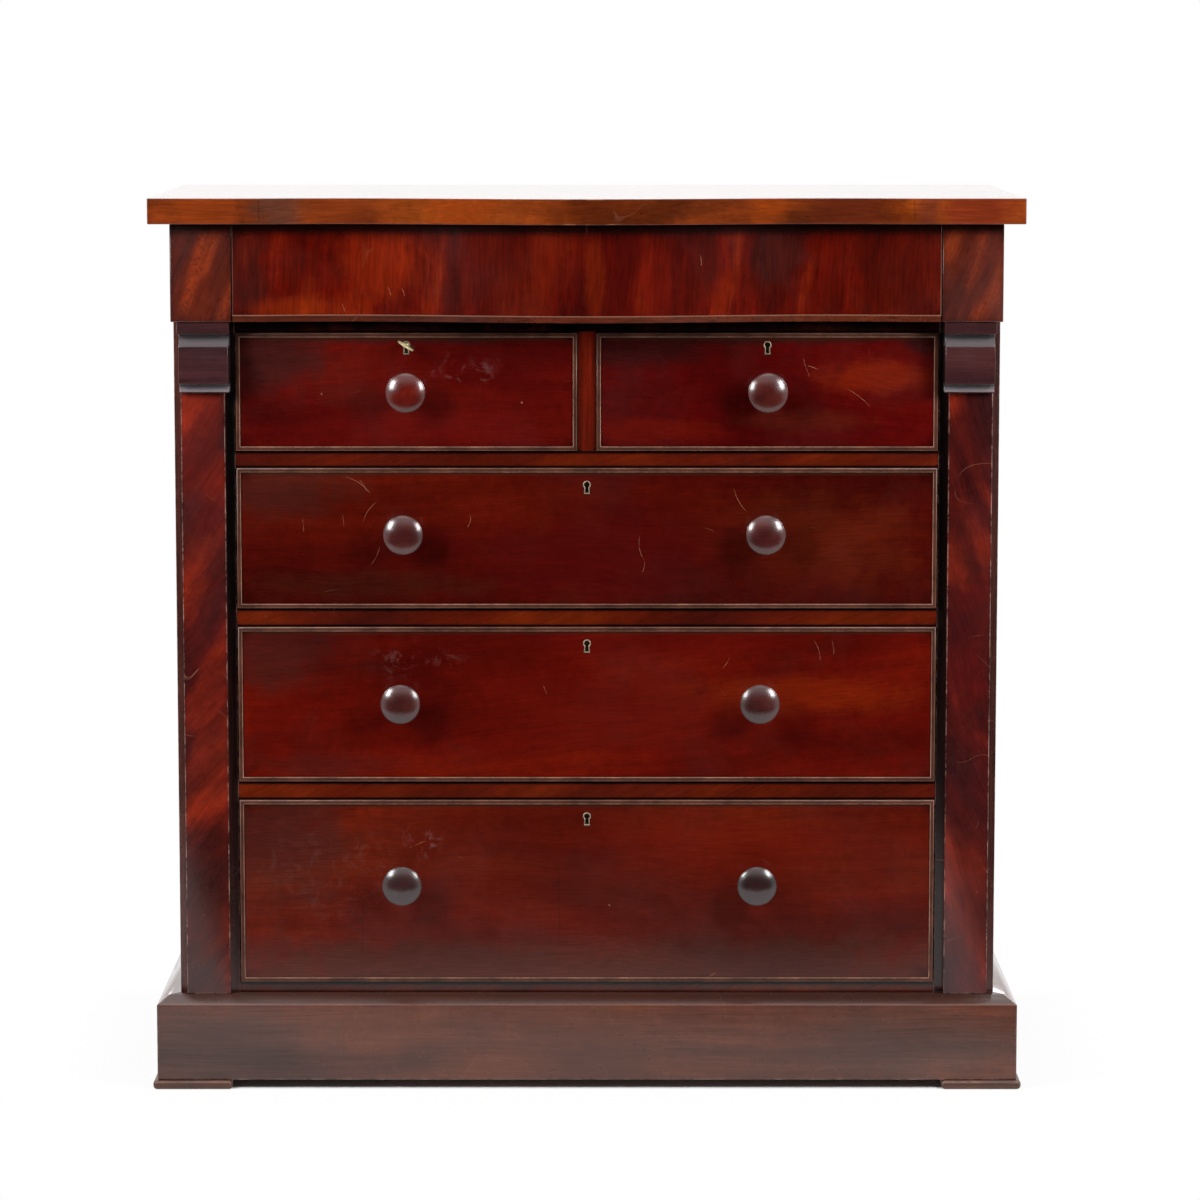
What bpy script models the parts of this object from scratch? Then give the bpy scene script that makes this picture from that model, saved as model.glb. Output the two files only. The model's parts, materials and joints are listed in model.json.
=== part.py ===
"""Victorian mahogany chest of drawers: two short and three long drawers under a frieze drawer.

Metres, +Z up. The chest faces -Y, stands on z = 0, and its origin is the bottom centre of its box.
The case is built up from the floor: pads, plinth, sides with their stiles, drawer boards, top.
Each drawer is a front, a bead let into its edge, a box, turned knobs, an escutcheon and a lock.
"""

import math

import bmesh
import bpy

# Running and glue gaps
GAP = 0.0003
DRAWER_SIDE_GAP = 0.0012
DRAWER_TOP_GAP = 0.0018
OVERRUN = 0.0020

# Case, front to back and side to side
CARCASS_WIDTH = 1.126
CARCASS_DEPTH = 0.480
STILE_WIDTH = 0.083
STILE_THICKNESS = 0.022
SIDE_THICKNESS = 0.020
BACK_THICKNESS = 0.010

# Heights, from the floor up
FOOT_HEIGHT = 0.013
PLINTH_HEIGHT = 0.117
BOTTOM_RAIL = 0.0155
LOWER_OPENING = 0.257
MIDDLE_RAIL = 0.024
MIDDLE_OPENING = 0.2165
UPPER_RAIL = 0.024
UPPER_OPENING = 0.195
SHORT_RAIL = 0.0215
SHORT_OPENING = 0.163
FRIEZE_RAIL = 0.0155
FRIEZE_HEIGHT = 0.133
TOP_THICKNESS = 0.035

# Top, with its serpentine front edge
TOP_SIDE_OVERHANG = 0.027
TOP_FRONT_OVERHANG = 0.030
TOP_BACK_OVERHANG = 0.006
TOP_EDGE_ROUND = 0.0015
BOW = 0.030
BOW_END_WIDTH = 0.040
BOW_STEPS = 44
BOW_MEAN_SHARE = 1 / 3
BOW_SWING_SHARE = 2 / 3
BOW_TURN = math.radians(240)

# Frieze, corbels and pilasters
FRIEZE_PROJECTION = 0.044
FRIEZE_FRONT_SINK = 0.010
FRIEZE_BLOCK_ROUND = 0.0010
CORBEL_WIDTH = 0.0675
CORBEL_INNER_MARGIN = 0.006
CORBEL_HEIGHT = 0.097
CORBEL_PROJECTION = 0.040
CORBEL_CURVE_STEPS = 4
PILASTER_WIDTH = 0.060
PILASTER_INNER_MARGIN = 0.013
PILASTER_PROJECTION = 0.012

# Plinth and its pads
PLINTH_SIDE_SHELF = 0.015
PLINTH_FRONT_SHELF = 0.014
PLINTH_CHAMFER_RUN = 0.016
PLINTH_CHAMFER_DROP = 0.012
PLINTH_BOARD = 0.026
PLINTH_LEDGE_INSET = 0.014
PLINTH_LEDGE_THICKNESS = 0.022
PAD_LENGTH = 0.110
PAD_PROJECTION = 0.006
PAD_ROUND = 0.0055
PAD_ROUND_STEPS = 3

# Drawer boards between the drawers
RAIL_DEPTH = 0.060
RUNNER_INNER_LAP = 0.022
DUST_BOARD_SHARE = 0.4
GUIDE_WIDTH = 0.020
GUIDE_HEIGHT = 0.012
MUNTIN_GUIDE_HEIGHT = 0.024
STOP_LENGTH = 0.040
STOP_DEPTH = 0.025
STOP_HEIGHT = 0.005
STOP_PLACE_SHARE = 0.28
MUNTIN_WIDTH = 0.024
MUNTIN_DEPTH = 0.022

# Drawer fronts and boxes
FRONT_THICKNESS = 0.022
FRONT_PROUD = 0.0030
BEAD_WIDTH = 0.0060
BEAD_DEPTH = 0.0060
BEAD_PROUD = 0.0025
BEAD_ROUND = 0.0010
DRAWER_BACK_CLEARANCE = 0.030
DRAWER_SIDE = 0.011
DRAWER_BACK = 0.010
DRAWER_BOTTOM = 0.007
DRAWER_BOTTOM_RAISE = 0.009
DRAWER_SIDE_DROP = 0.004

# Knobs: radius and distance in front of the drawer face, as shares of the head radius and reach
KNOB_RADIUS = 0.027
KNOB_REACH = 0.041
KNOB_SPIGOT_RADIUS = 0.0080
KNOB_SPIGOT_LENGTH = 0.0200
KNOB_SEGMENTS = 24
KNOB_PROFILE_SHARES = (
    (0.56, 0.00), (0.56, 0.07), (0.44, 0.14), (0.41, 0.28), (0.52, 0.50), (0.80, 0.65), (0.95, 0.72),
    (1.00, 0.795), (0.975, 0.835), (0.91, 0.86), (0.72, 0.92), (0.52, 0.96), (0.28, 0.99), (0.10, 1.00),
)

# Knob places, as shares of each front's width and height, left and right
SHORT_KNOB_SHARES = (0.50,)
SHORT_KNOB_HEIGHT_SHARE = 0.508
UPPER_KNOB_SHARES = (0.2385, 0.7547)
UPPER_KNOB_HEIGHT_SHARE = 0.540
MIDDLE_KNOB_SHARES = (0.2335, 0.7473)
MIDDLE_KNOB_HEIGHT_SHARE = 0.521
LOWER_KNOB_SHARES = (0.2343, 0.7442)
LOWER_KNOB_HEIGHT_SHARE = 0.549

# Keyholes, escutcheons and locks
SHORT_KEY_DROP = 0.0165
LONG_KEY_DROP = 0.0230
KEYHOLE_RADIUS = 0.0034
KEYHOLE_FOOT_DROP = 0.0112
KEYHOLE_FOOT_WIDTH = 0.0044
KEYHOLE_WAIST_SHARE = 0.84
KEYHOLE_STEPS = 14
ESCUTCHEON_WALL = 0.0022
ESCUTCHEON_DEPTH = 0.0050
ESCUTCHEON_PROUD = 0.0002
LOCK_WIDTH = 0.060
LOCK_THICKNESS = 0.0100
LOCK_PLATE = 0.0015
LOCK_CAVITY_DEPTH = 0.0046
LOCK_CAVITY_RADIUS = 0.0093
BOLT_WIDTH = 0.022
BOLT_PLATE = 0.0016
BOLT_HEAD_THICKNESS = 0.0045
BOLT_HEAD_HEIGHT = 0.0040
BOLT_TAIL_SHARE = 0.5
BOLT_RISE = 0.0052
BOLT_FALL = 0.0025

# Key, in the lock of one drawer
KEYED_DRAWER = "short_left_drawer"
KEY_REST_ANGLE = math.radians(-57)
KEY_BOW_WIDTH = 0.025
KEY_BOW_LENGTH = 0.019
KEY_BOW_THICKNESS = 0.0026
KEY_BOW_WALL = 0.0045
KEY_BOW_STEPS = 20
KEY_STEM = 0.012
KEY_BIT_LENGTH = 0.0040
KEY_BIT_REACH = 0.0086
KEY_BIT_THICKNESS = 0.0020
KEY_SEGMENTS = 16

# Places worked out from the sizes above
case_half = CARCASS_WIDTH / 2
opening_half = case_half - STILE_WIDTH
bow_half = opening_half - BOW_END_WIDTH
total_depth = TOP_BACK_OVERHANG + CARCASS_DEPTH + FRIEZE_PROJECTION + TOP_FRONT_OVERHANG + BOW
back_y = total_depth / 2 - TOP_BACK_OVERHANG
face_y = back_y - CARCASS_DEPTH
panel_y = back_y - BACK_THICKNESS
drawer_y = face_y - FRONT_PROUD
front_back_y = drawer_y + FRONT_THICKNESS
top_end_y = face_y - FRIEZE_PROJECTION - TOP_FRONT_OVERHANG

# Distances behind a drawer's face, in its lock
lock_face = FRONT_THICKNESS - LOCK_THICKNESS
cavity_start = lock_face + LOCK_PLATE
cavity_end = cavity_start + LOCK_CAVITY_DEPTH
bolt_plate = cavity_end + GAP
bolt_back = bolt_plate + BOLT_PLATE
bolt_front = bolt_back - BOLT_HEAD_THICKNESS

# Heights of the boards' and drawers' lower edges
plinth_z = FOOT_HEIGHT + PLINTH_HEIGHT
lower_z = plinth_z + BOTTOM_RAIL
middle_rail_z = lower_z + LOWER_OPENING
middle_z = middle_rail_z + MIDDLE_RAIL
upper_rail_z = middle_z + MIDDLE_OPENING
upper_z = upper_rail_z + UPPER_RAIL
short_rail_z = upper_z + UPPER_OPENING
short_z = short_rail_z + SHORT_RAIL
frieze_rail_z = short_z + SHORT_OPENING
frieze_z = frieze_rail_z + FRIEZE_RAIL
top_z = frieze_z + FRIEZE_HEIGHT


def clear_scene():
    for item in list(bpy.data.objects):
        bpy.data.objects.remove(item, do_unlink=True)


def wood_or_metal(name, colour, roughness, metallic=0.0):
    material = bpy.data.materials.new(name)
    material.use_nodes = True
    shader = material.node_tree.nodes["Principled BSDF"]
    shader.inputs["Base Color"].default_value = (*colour, 1.0)
    shader.inputs["Roughness"].default_value = roughness
    shader.inputs["Metallic"].default_value = metallic
    return material


def empty(name, location):
    holder = bpy.data.objects.new(name, None)
    bpy.context.collection.objects.link(holder)
    holder.location = location
    return holder


def piece(name, mesh, material, parent=None, location=(0, 0, 0)):
    item = bpy.data.objects.new(name, mesh)
    bpy.context.collection.objects.link(item)
    if not mesh.materials:
        mesh.materials.append(material)
    item.parent = parent
    item.location = location
    return item


def loft(name, loops, ring=False):
    """Skins loops of equal length one after another; a ring closes on itself, else ends are capped."""
    shape = bmesh.new()
    rows = [[shape.verts.new(point) for point in loop] for loop in loops]
    count = len(rows[0])
    pairs = list(zip(rows, rows[1:]))
    if ring:
        pairs.append((rows[-1], rows[0]))
    for low, high in pairs:
        for i in range(count):
            j = (i + 1) % count
            shape.faces.new((low[i], low[j], high[j], high[i]))
    if not ring:
        shape.faces.new(rows[0])
        shape.faces.new(rows[-1])
    bmesh.ops.recalc_face_normals(shape, faces=shape.faces)
    mesh = bpy.data.meshes.new(name)
    shape.to_mesh(mesh)
    shape.free()
    return mesh


def block(name, low, high):
    """A box between two corners."""
    def level(z):
        return [(low[0], low[1], z), (high[0], low[1], z), (high[0], high[1], z), (low[0], high[1], z)]
    return loft(name, [level(low[2]), level(high[2])])


def upright(name, outline, low, high):
    """An outline in X and Y, extruded up."""
    return loft(name, [[(x, y, z) for x, y in outline] for z in (low, high)])


def across(name, outline, low, high):
    """An outline in Y and Z, extruded along X."""
    return loft(name, [[(x, y, z) for y, z in outline] for x in (low, high)])


def inward(name, outline, low, high):
    """An outline in X and Z, extruded along Y."""
    return loft(name, [[(x, y, z) for x, z in outline] for y in (low, high)])


def circle(radius, y, segments):
    turns = [2 * math.pi * i / segments for i in range(segments)]
    return [(radius * math.cos(a), y, radius * math.sin(a)) for a in turns]


def rounded(mesh, angle=math.radians(35)):
    mesh.shade_smooth()
    mesh.set_sharp_from_angle(angle=angle)
    return mesh


def bevel(item, width, segments=2):
    edge = item.modifiers.new("Rounded edge", "BEVEL")
    edge.width = width
    edge.segments = segments
    edge.limit_method = "ANGLE"
    edge.angle_limit = math.radians(50)


def combine(item, mesh, operation="DIFFERENCE"):
    """Cuts a shape out of a piece, or joins one to it; the shape is in the piece's own frame."""
    guide = bpy.data.objects.new(mesh.name, mesh)
    bpy.context.collection.objects.link(guide)
    guide.parent = item.parent
    guide.location = item.location
    guide.rotation_euler = item.rotation_euler
    guide.hide_render = True
    guide.display_type = "WIRE"
    step = item.modifiers.new(mesh.name, "BOOLEAN")
    step.object = guide
    step.operation = operation
    step.solver = "EXACT"


def serpentine(x):
    """How far the front stands before its flat ends, at a place along it."""
    reach = min(abs(x) / bow_half, 1.0)
    return BOW * (BOW_MEAN_SHARE + BOW_SWING_SHARE * math.cos(BOW_TURN * reach))


def serpentine_points(end_y):
    """Points from right to left along the curved part of a front whose flat ends lie at end_y."""
    places = [bow_half * (1 - 2 * i / BOW_STEPS) for i in range(BOW_STEPS + 1)]
    return [(x, end_y - serpentine(x)) for x in places]


def bend(start, middle, end, steps):
    """A curve from start to end that leans on the middle point, without its first point."""
    points = []
    for i in range(1, steps + 1):
        t = i / steps
        weights = ((1 - t) ** 2, 2 * t * (1 - t), t ** 2)
        points.append(tuple(sum(w * p[k] for w, p in zip(weights, (start, middle, end))) for k in (0, 1)))
    return points


def keyhole_outline(radius, foot_drop, foot_width):
    """A round eye with a flared leg below it, in X and Z, anticlockwise from the right foot."""
    foot = foot_width / 2
    start = -math.acos(min(1.0, foot * KEYHOLE_WAIST_SHARE / radius))
    sweep = math.pi - 2 * start
    eye = [start + sweep * i / KEYHOLE_STEPS for i in range(KEYHOLE_STEPS + 1)]
    outline = [(foot, -foot_drop)]
    outline += [(radius * math.cos(a), radius * math.sin(a)) for a in eye]
    outline += [(-foot, -foot_drop)]
    return outline


def make_top(materials):
    half = case_half + TOP_SIDE_OVERHANG
    back = back_y + TOP_BACK_OVERHANG
    outline = [(-half, back), (half, back), (half, top_end_y)]
    outline += serpentine_points(top_end_y)
    outline += [(-half, top_end_y)]
    top = piece("top_board", upright("top_board", outline, top_z, top_z + TOP_THICKNESS), materials["top"])
    bevel(top, TOP_EDGE_ROUND)


def make_sides(materials):
    low = plinth_z + GAP
    high = top_z - GAP
    for name, side in (("side_left", -1), ("side_right", 1)):
        outer = side * case_half
        board = side * (case_half - SIDE_THICKNESS)
        stile = side * opening_half
        behind = face_y + STILE_THICKNESS
        outline = [(stile, face_y), (outer, face_y), (outer, back_y), (board, back_y), (board, behind),
                   (stile, behind)]
        piece(name, upright(name, outline, low, high), materials["case"])
    panel_half = case_half - SIDE_THICKNESS - GAP
    piece("back_panel", block("back_panel", (-panel_half, panel_y, low), (panel_half, back_y, high)),
          materials["pine"])


def make_frieze_blocks(materials):
    for name, side in (("frieze_block_left", -1), ("frieze_block_right", 1)):
        ends = sorted((side * opening_half, side * case_half))
        low = (ends[0], face_y - FRIEZE_PROJECTION, frieze_z)
        high = (ends[1], face_y - GAP, top_z - GAP)
        bevel(piece(name, block(name, low, high), materials["veneer"]), FRIEZE_BLOCK_ROUND, 1)


def corbel_outline():
    """Side view of a corbel: fascia, cove, long belly, undercurve and flared foot, from the top down."""
    back = face_y - GAP
    top = frieze_z - GAP

    def at(out_share, down_share):
        return back - CORBEL_PROJECTION * out_share, top - CORBEL_HEIGHT * down_share

    outline = [at(0.0, 0.0), at(1.0, 0.0), at(1.0, 0.185), at(0.86, 0.205)]
    outline += bend(at(0.86, 0.205), at(0.52, 0.205), at(0.50, 0.250), CORBEL_CURVE_STEPS)
    outline += bend(at(0.50, 0.250), at(0.60, 0.315), at(0.86, 0.350), CORBEL_CURVE_STEPS)
    outline += bend(at(0.86, 0.350), at(1.00, 0.60), at(0.84, 0.870), CORBEL_CURVE_STEPS)
    outline += bend(at(0.84, 0.870), at(0.70, 0.905), at(0.34, 0.905), CORBEL_CURVE_STEPS)
    outline += [at(0.54, 0.985), at(0.54, 1.0), at(0.0, 1.0)]
    return outline


def make_corbels_and_pilasters(materials):
    corbel_low = frieze_z - GAP - CORBEL_HEIGHT
    for side, hand in ((-1, "left"), (1, "right")):
        inner = opening_half + CORBEL_INNER_MARGIN
        ends = sorted((side * inner, side * (inner + CORBEL_WIDTH)))
        name = "corbel_" + hand
        piece(name, rounded(across(name, corbel_outline(), *ends)), materials["dark"])
        inner = opening_half + PILASTER_INNER_MARGIN
        ends = sorted((side * inner, side * (inner + PILASTER_WIDTH)))
        name = "pilaster_" + hand
        low = (ends[0], face_y - PILASTER_PROJECTION, plinth_z + GAP)
        high = (ends[1], face_y - GAP, corbel_low - GAP)
        piece(name, block(name, low, high), materials["veneer"])


def plinth_section():
    """Section of a plinth board: distance in from its outer face, and height."""
    ledge = PLINTH_CHAMFER_RUN + PLINTH_SIDE_SHELF + PLINTH_LEDGE_INSET
    ledge_low = plinth_z - PLINTH_LEDGE_THICKNESS
    return [(0.0, FOOT_HEIGHT), (0.0, plinth_z - PLINTH_CHAMFER_DROP), (PLINTH_CHAMFER_RUN, plinth_z),
            (ledge, plinth_z), (ledge, ledge_low), (PLINTH_BOARD, ledge_low), (PLINTH_BOARD, FOOT_HEIGHT)]


def make_plinth(materials):
    half = case_half + PLINTH_SIDE_SHELF + PLINTH_CHAMFER_RUN
    front = face_y - PLINTH_FRONT_SHELF - PLINTH_CHAMFER_RUN
    section = plinth_section()
    left_end = [(-half + into + GAP, front + into, z) for into, z in section]
    right_end = [(half - into - GAP, front + into, z) for into, z in section]
    piece("plinth_front", loft("plinth_front", [left_end, right_end]), materials["plinth"])
    for name, side in (("plinth_left", -1), ("plinth_right", 1)):
        mitre = [(side * (half - into), front + into + GAP, z) for into, z in section]
        square = [(side * (half - into), back_y, z) for into, z in section]
        piece(name, loft(name, [mitre, square]), materials["plinth"])

    outer_x = half + PAD_PROJECTION
    front_y = front - PAD_PROJECTION
    pads = (
        ("foot_front_left", -outer_x, front_y),
        ("foot_front_right", outer_x - PAD_LENGTH, front_y),
        ("foot_rear_left", -outer_x, back_y - PAD_LENGTH),
        ("foot_rear_right", outer_x - PAD_LENGTH, back_y - PAD_LENGTH),
    )
    for name, x, y in pads:
        mesh = block(name, (x, y, 0.0), (x + PAD_LENGTH, y + PAD_LENGTH, FOOT_HEIGHT - GAP))
        bevel(piece(name, mesh, materials["plinth"]), PAD_ROUND, PAD_ROUND_STEPS)


def make_board(name, low, thickness, materials, stops=()):
    """A rail with its runners, guides, dust board and drawer stops, as one frame across the case."""
    floor = low + GAP
    level = low + thickness
    dust_low = low + thickness * (1 - DUST_BOARD_SHARE) / 2
    dust_high = dust_low + thickness * DUST_BOARD_SHARE
    outer = case_half - SIDE_THICKNESS - GAP
    guide = opening_half + GUIDE_WIDTH
    lap = opening_half - RUNNER_INNER_LAP
    right = [(lap, dust_low), (lap, floor), (outer, floor), (outer, level), (guide, level),
             (guide, level + GUIDE_HEIGHT), (opening_half, level + GUIDE_HEIGHT), (opening_half, level),
             (lap, level), (lap, dust_high)]
    left = [(-x, z) for x, z in reversed(right)]
    start = face_y + STILE_THICKNESS + GAP
    frame = piece(name, inward(name, right + left, start, panel_y - GAP), materials["pine"])

    rail_half = opening_half - GAP
    rail = block(name + "_rail", (-rail_half, face_y, floor), (rail_half, face_y + RAIL_DEPTH, level))
    combine(frame, rail, "UNION")
    for i, x in enumerate(stops):
        behind = front_back_y + GAP
        stop = block(f"{name}_stop_{i}", (x - STOP_LENGTH / 2, behind, level - OVERRUN),
                     (x + STOP_LENGTH / 2, behind + STOP_DEPTH, level + STOP_HEIGHT))
        combine(frame, stop, "UNION")
    return frame


def cut_mortise(frame, centre_x, rail_low):
    """The slot in a rail's underside that a lock's bolt rises into."""
    half = BOLT_WIDTH / 2 + GAP
    low = (centre_x - half, drawer_y + bolt_front - GAP, rail_low - OVERRUN)
    high = (centre_x + half, drawer_y + bolt_back + GAP, rail_low + BOLT_RISE + GAP)
    combine(frame, block(f"{frame.name}_mortise_{centre_x:+.2f}", low, high))


def make_boards(materials):
    long_stops = (-2 * opening_half * STOP_PLACE_SHARE, 2 * opening_half * STOP_PLACE_SHARE)
    short_middle = (opening_half + MUNTIN_WIDTH / 2) / 2
    make_board("bottom_rail", plinth_z, BOTTOM_RAIL, materials, long_stops)
    middle = make_board("middle_drawer_rail", middle_rail_z, MIDDLE_RAIL, materials, long_stops)
    upper = make_board("upper_drawer_rail", upper_rail_z, UPPER_RAIL, materials, long_stops)
    short = make_board("short_drawer_rail", short_rail_z, SHORT_RAIL, materials, long_stops)
    frieze = make_board("frieze_rail", frieze_rail_z, FRIEZE_RAIL, materials)
    for frame, low in ((middle, middle_rail_z), (upper, upper_rail_z), (short, short_rail_z)):
        cut_mortise(frame, 0.0, low + GAP)
    for centre in (-short_middle, short_middle):
        cut_mortise(frieze, centre, frieze_rail_z + GAP)

    half = MUNTIN_WIDTH / 2
    foot = short_z + GAP
    post = block("centre_muntin", (-half, face_y, foot), (half, face_y + MUNTIN_DEPTH, frieze_rail_z))
    guide = block("centre_guide", (-half, face_y + MUNTIN_DEPTH - OVERRUN, foot),
                  (half, panel_y - GAP, foot + MUNTIN_GUIDE_HEIGHT))
    combine(piece("centre_muntin", post, materials["case"]), guide, "UNION")


def frame_loop(width, height, inset, y):
    """A rectangle round a drawer front, drawn in from its edge."""
    half = width / 2 - inset
    return [(-half, y, inset), (half, y, inset), (half, y, height - inset), (-half, y, height - inset)]


def make_front(name, width, height, knobs, key_drop, materials, holder):
    """A drawer front, rebated for its bead, with its knob holes, keyhole and lock pocket."""
    inset = BEAD_WIDTH + GAP
    rebate = BEAD_DEPTH + GAP
    sections = ((inset, 0.0), (inset, rebate), (0.0, rebate), (0.0, FRONT_THICKNESS))
    loops = [frame_loop(width, height, drawn_in, y) for drawn_in, y in sections]
    front = piece(name + "_front", loft(name + "_front", loops), materials["mahogany"], holder)

    for i, (x, z) in enumerate(knobs):
        radius = KNOB_SPIGOT_RADIUS + GAP
        rings = [circle(radius, y, KNOB_SEGMENTS) for y in (-OVERRUN, FRONT_THICKNESS + OVERRUN)]
        hole = loft(f"{name}_knob_hole_{i}", [[(x + px, y, z + pz) for px, y, pz in ring] for ring in rings])
        combine(front, hole)

    key_z = height - key_drop
    wall = ESCUTCHEON_WALL + GAP
    recess = keyhole_outline(KEYHOLE_RADIUS + wall, KEYHOLE_FOOT_DROP + wall, KEYHOLE_FOOT_WIDTH + 2 * wall)
    keyhole = keyhole_outline(KEYHOLE_RADIUS, KEYHOLE_FOOT_DROP, KEYHOLE_FOOT_WIDTH)
    holes = (("recess", recess, ESCUTCHEON_DEPTH + GAP), ("keyhole", keyhole, FRONT_THICKNESS))
    for label, outline, depth in holes:
        raised = [(x, key_z + z) for x, z in outline]
        combine(front, inward(f"{name}_{label}", raised, -OVERRUN, depth))
    pocket_half = LOCK_WIDTH / 2 + GAP
    low = (-pocket_half, FRONT_THICKNESS - LOCK_THICKNESS - GAP, height - 2 * key_drop)
    high = (pocket_half, FRONT_THICKNESS + OVERRUN, height + OVERRUN)
    combine(front, block(name + "_pocket", low, high))


def make_bead(name, width, height, materials, holder):
    """The bead: one mitred strip round the front, rounded where it stands proud."""
    proud = -BEAD_PROUD
    shoulder = proud + BEAD_ROUND
    sections = [(0.0, BEAD_DEPTH), (0.0, shoulder), (BEAD_ROUND, proud), (BEAD_WIDTH - BEAD_ROUND, proud),
                (BEAD_WIDTH, shoulder), (BEAD_WIDTH, BEAD_DEPTH)]
    loops = [frame_loop(width, height, inset, y) for inset, y in sections]
    piece(name + "_bead", loft(name + "_bead", loops, ring=True), materials["bead"], holder)


def make_box(name, width, height, start, materials, holder):
    """The drawer's sides, back and bottom, open above and closed in front by the drawer front."""
    half = width / 2
    top = height - DRAWER_SIDE_DROP
    end = panel_y - DRAWER_BACK_CLEARANCE - holder.location.y
    low = (-half, start + GAP, 0.0)
    high = (half, end, top)
    box = piece(name + "_box", block(name + "_box", low, high), materials["pine"], holder)
    inner = half - DRAWER_SIDE
    back = end - DRAWER_BACK
    floor = DRAWER_BOTTOM_RAISE + DRAWER_BOTTOM
    combine(box, block(name + "_inside", (-inner, start - OVERRUN, floor), (inner, back, top + OVERRUN)))
    combine(box, block(name + "_under", (-inner, start - OVERRUN, -OVERRUN),
                       (inner, end + OVERRUN, DRAWER_BOTTOM_RAISE)))


def knob_mesh():
    """A turned knob on a drawer face: spigot, collar, neck, rim and shallow dome."""
    rings = [(KNOB_SPIGOT_RADIUS, KNOB_SPIGOT_LENGTH), (KNOB_SPIGOT_RADIUS, -GAP)]
    rings += [(KNOB_RADIUS * wide, -GAP - KNOB_REACH * out) for wide, out in KNOB_PROFILE_SHARES]
    return rounded(loft("knob", [circle(radius, y, KNOB_SEGMENTS) for radius, y in rings]))


def escutcheon_mesh():
    outer = keyhole_outline(KEYHOLE_RADIUS + ESCUTCHEON_WALL, KEYHOLE_FOOT_DROP + ESCUTCHEON_WALL,
                            KEYHOLE_FOOT_WIDTH + 2 * ESCUTCHEON_WALL)
    inner = keyhole_outline(KEYHOLE_RADIUS, KEYHOLE_FOOT_DROP, KEYHOLE_FOOT_WIDTH)
    sections = ((outer, ESCUTCHEON_DEPTH), (outer, -ESCUTCHEON_PROUD), (inner, -ESCUTCHEON_PROUD),
                (inner, ESCUTCHEON_DEPTH))
    return loft("escutcheon", [[(x, y, z) for x, z in outline] for outline, y in sections], ring=True)


def make_lock(name, key_drop, materials, holder, key_z, with_bolt):
    """A lock case let into the back of the front; its origin is the key's axis at the drawer face."""
    half = LOCK_WIDTH / 2
    drop = key_drop - GAP
    mesh = block(name + "_lock", (-half, lock_face, -drop), (half, FRONT_THICKNESS, key_drop))
    lock = piece(name + "_lock", mesh, materials["brass"], holder, (0, 0, key_z))
    keyhole = keyhole_outline(KEYHOLE_RADIUS, KEYHOLE_FOOT_DROP, KEYHOLE_FOOT_WIDTH)
    combine(lock, inward(name + "_lock_keyhole", keyhole, lock_face - OVERRUN, cavity_end - GAP))
    rings = [circle(LOCK_CAVITY_RADIUS, y, KNOB_SEGMENTS) for y in (cavity_start, cavity_end)]
    combine(lock, loft(name + "_lock_cavity", rings))
    if not with_bolt:
        return

    half = BOLT_WIDTH / 2
    tail = -key_drop * BOLT_TAIL_SHARE
    shoulder = key_drop - BOLT_HEAD_HEIGHT
    below = BOLT_FALL + GAP
    above = key_drop + OVERRUN
    plate = block(name + "_bolt", (-half, bolt_plate, tail), (half, bolt_back, key_drop - GAP))
    head = block(name + "_bolt_head", (-half, bolt_front, shoulder), (half, bolt_back, key_drop))
    bolt = piece(name + "_bolt", plate, materials["brass"], holder, (0, 0, key_z))
    combine(bolt, head, "UNION")
    plate_slot = block(name + "_lock_plate_slot", (-half - GAP, cavity_end - GAP, tail - below),
                       (half + GAP, bolt_back + GAP, above))
    head_slot = block(name + "_lock_head_slot", (-half - GAP, bolt_front - GAP, shoulder - below),
                      (half + GAP, bolt_back + GAP, above))
    combine(lock, plate_slot)
    combine(lock, head_slot)


def make_key(holder, key_z, materials):
    """The key in its lock, with its bow seen edge on; it turns about its own Y axis."""
    radius = KEYHOLE_RADIUS - GAP
    shank_end = cavity_end - GAP
    stem_end = -KEY_STEM
    rings = [circle(radius, y, KEY_SEGMENTS) for y in (shank_end, stem_end)]
    key = piece("key", rounded(loft("key", rings)), materials["brass"], holder, (0, 0, key_z))
    key.rotation_euler = (0.0, KEY_REST_ANGLE, 0.0)

    half = KEY_BOW_THICKNESS / 2
    middle = stem_end - KEY_BOW_LENGTH / 2 + KEY_BOW_WALL / 2

    def oval(x, inset):
        turns = [2 * math.pi * i / KEY_BOW_STEPS for i in range(KEY_BOW_STEPS)]
        wide = KEY_BOW_WIDTH / 2 - inset
        long = KEY_BOW_LENGTH / 2 - inset
        return [(x, middle + long * math.cos(a), wide * math.sin(a)) for a in turns]

    sections = ((-half, 0.0), (half, 0.0), (half, KEY_BOW_WALL), (-half, KEY_BOW_WALL))
    combine(key, loft("key_bow", [oval(x, inset) for x, inset in sections], ring=True), "UNION")
    thin = KEY_BIT_THICKNESS / 2
    bit = block("key_bit", (-thin, shank_end - KEY_BIT_LENGTH, -KEY_BIT_REACH), (thin, shank_end, 0.0))
    combine(key, bit, "UNION")


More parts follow.
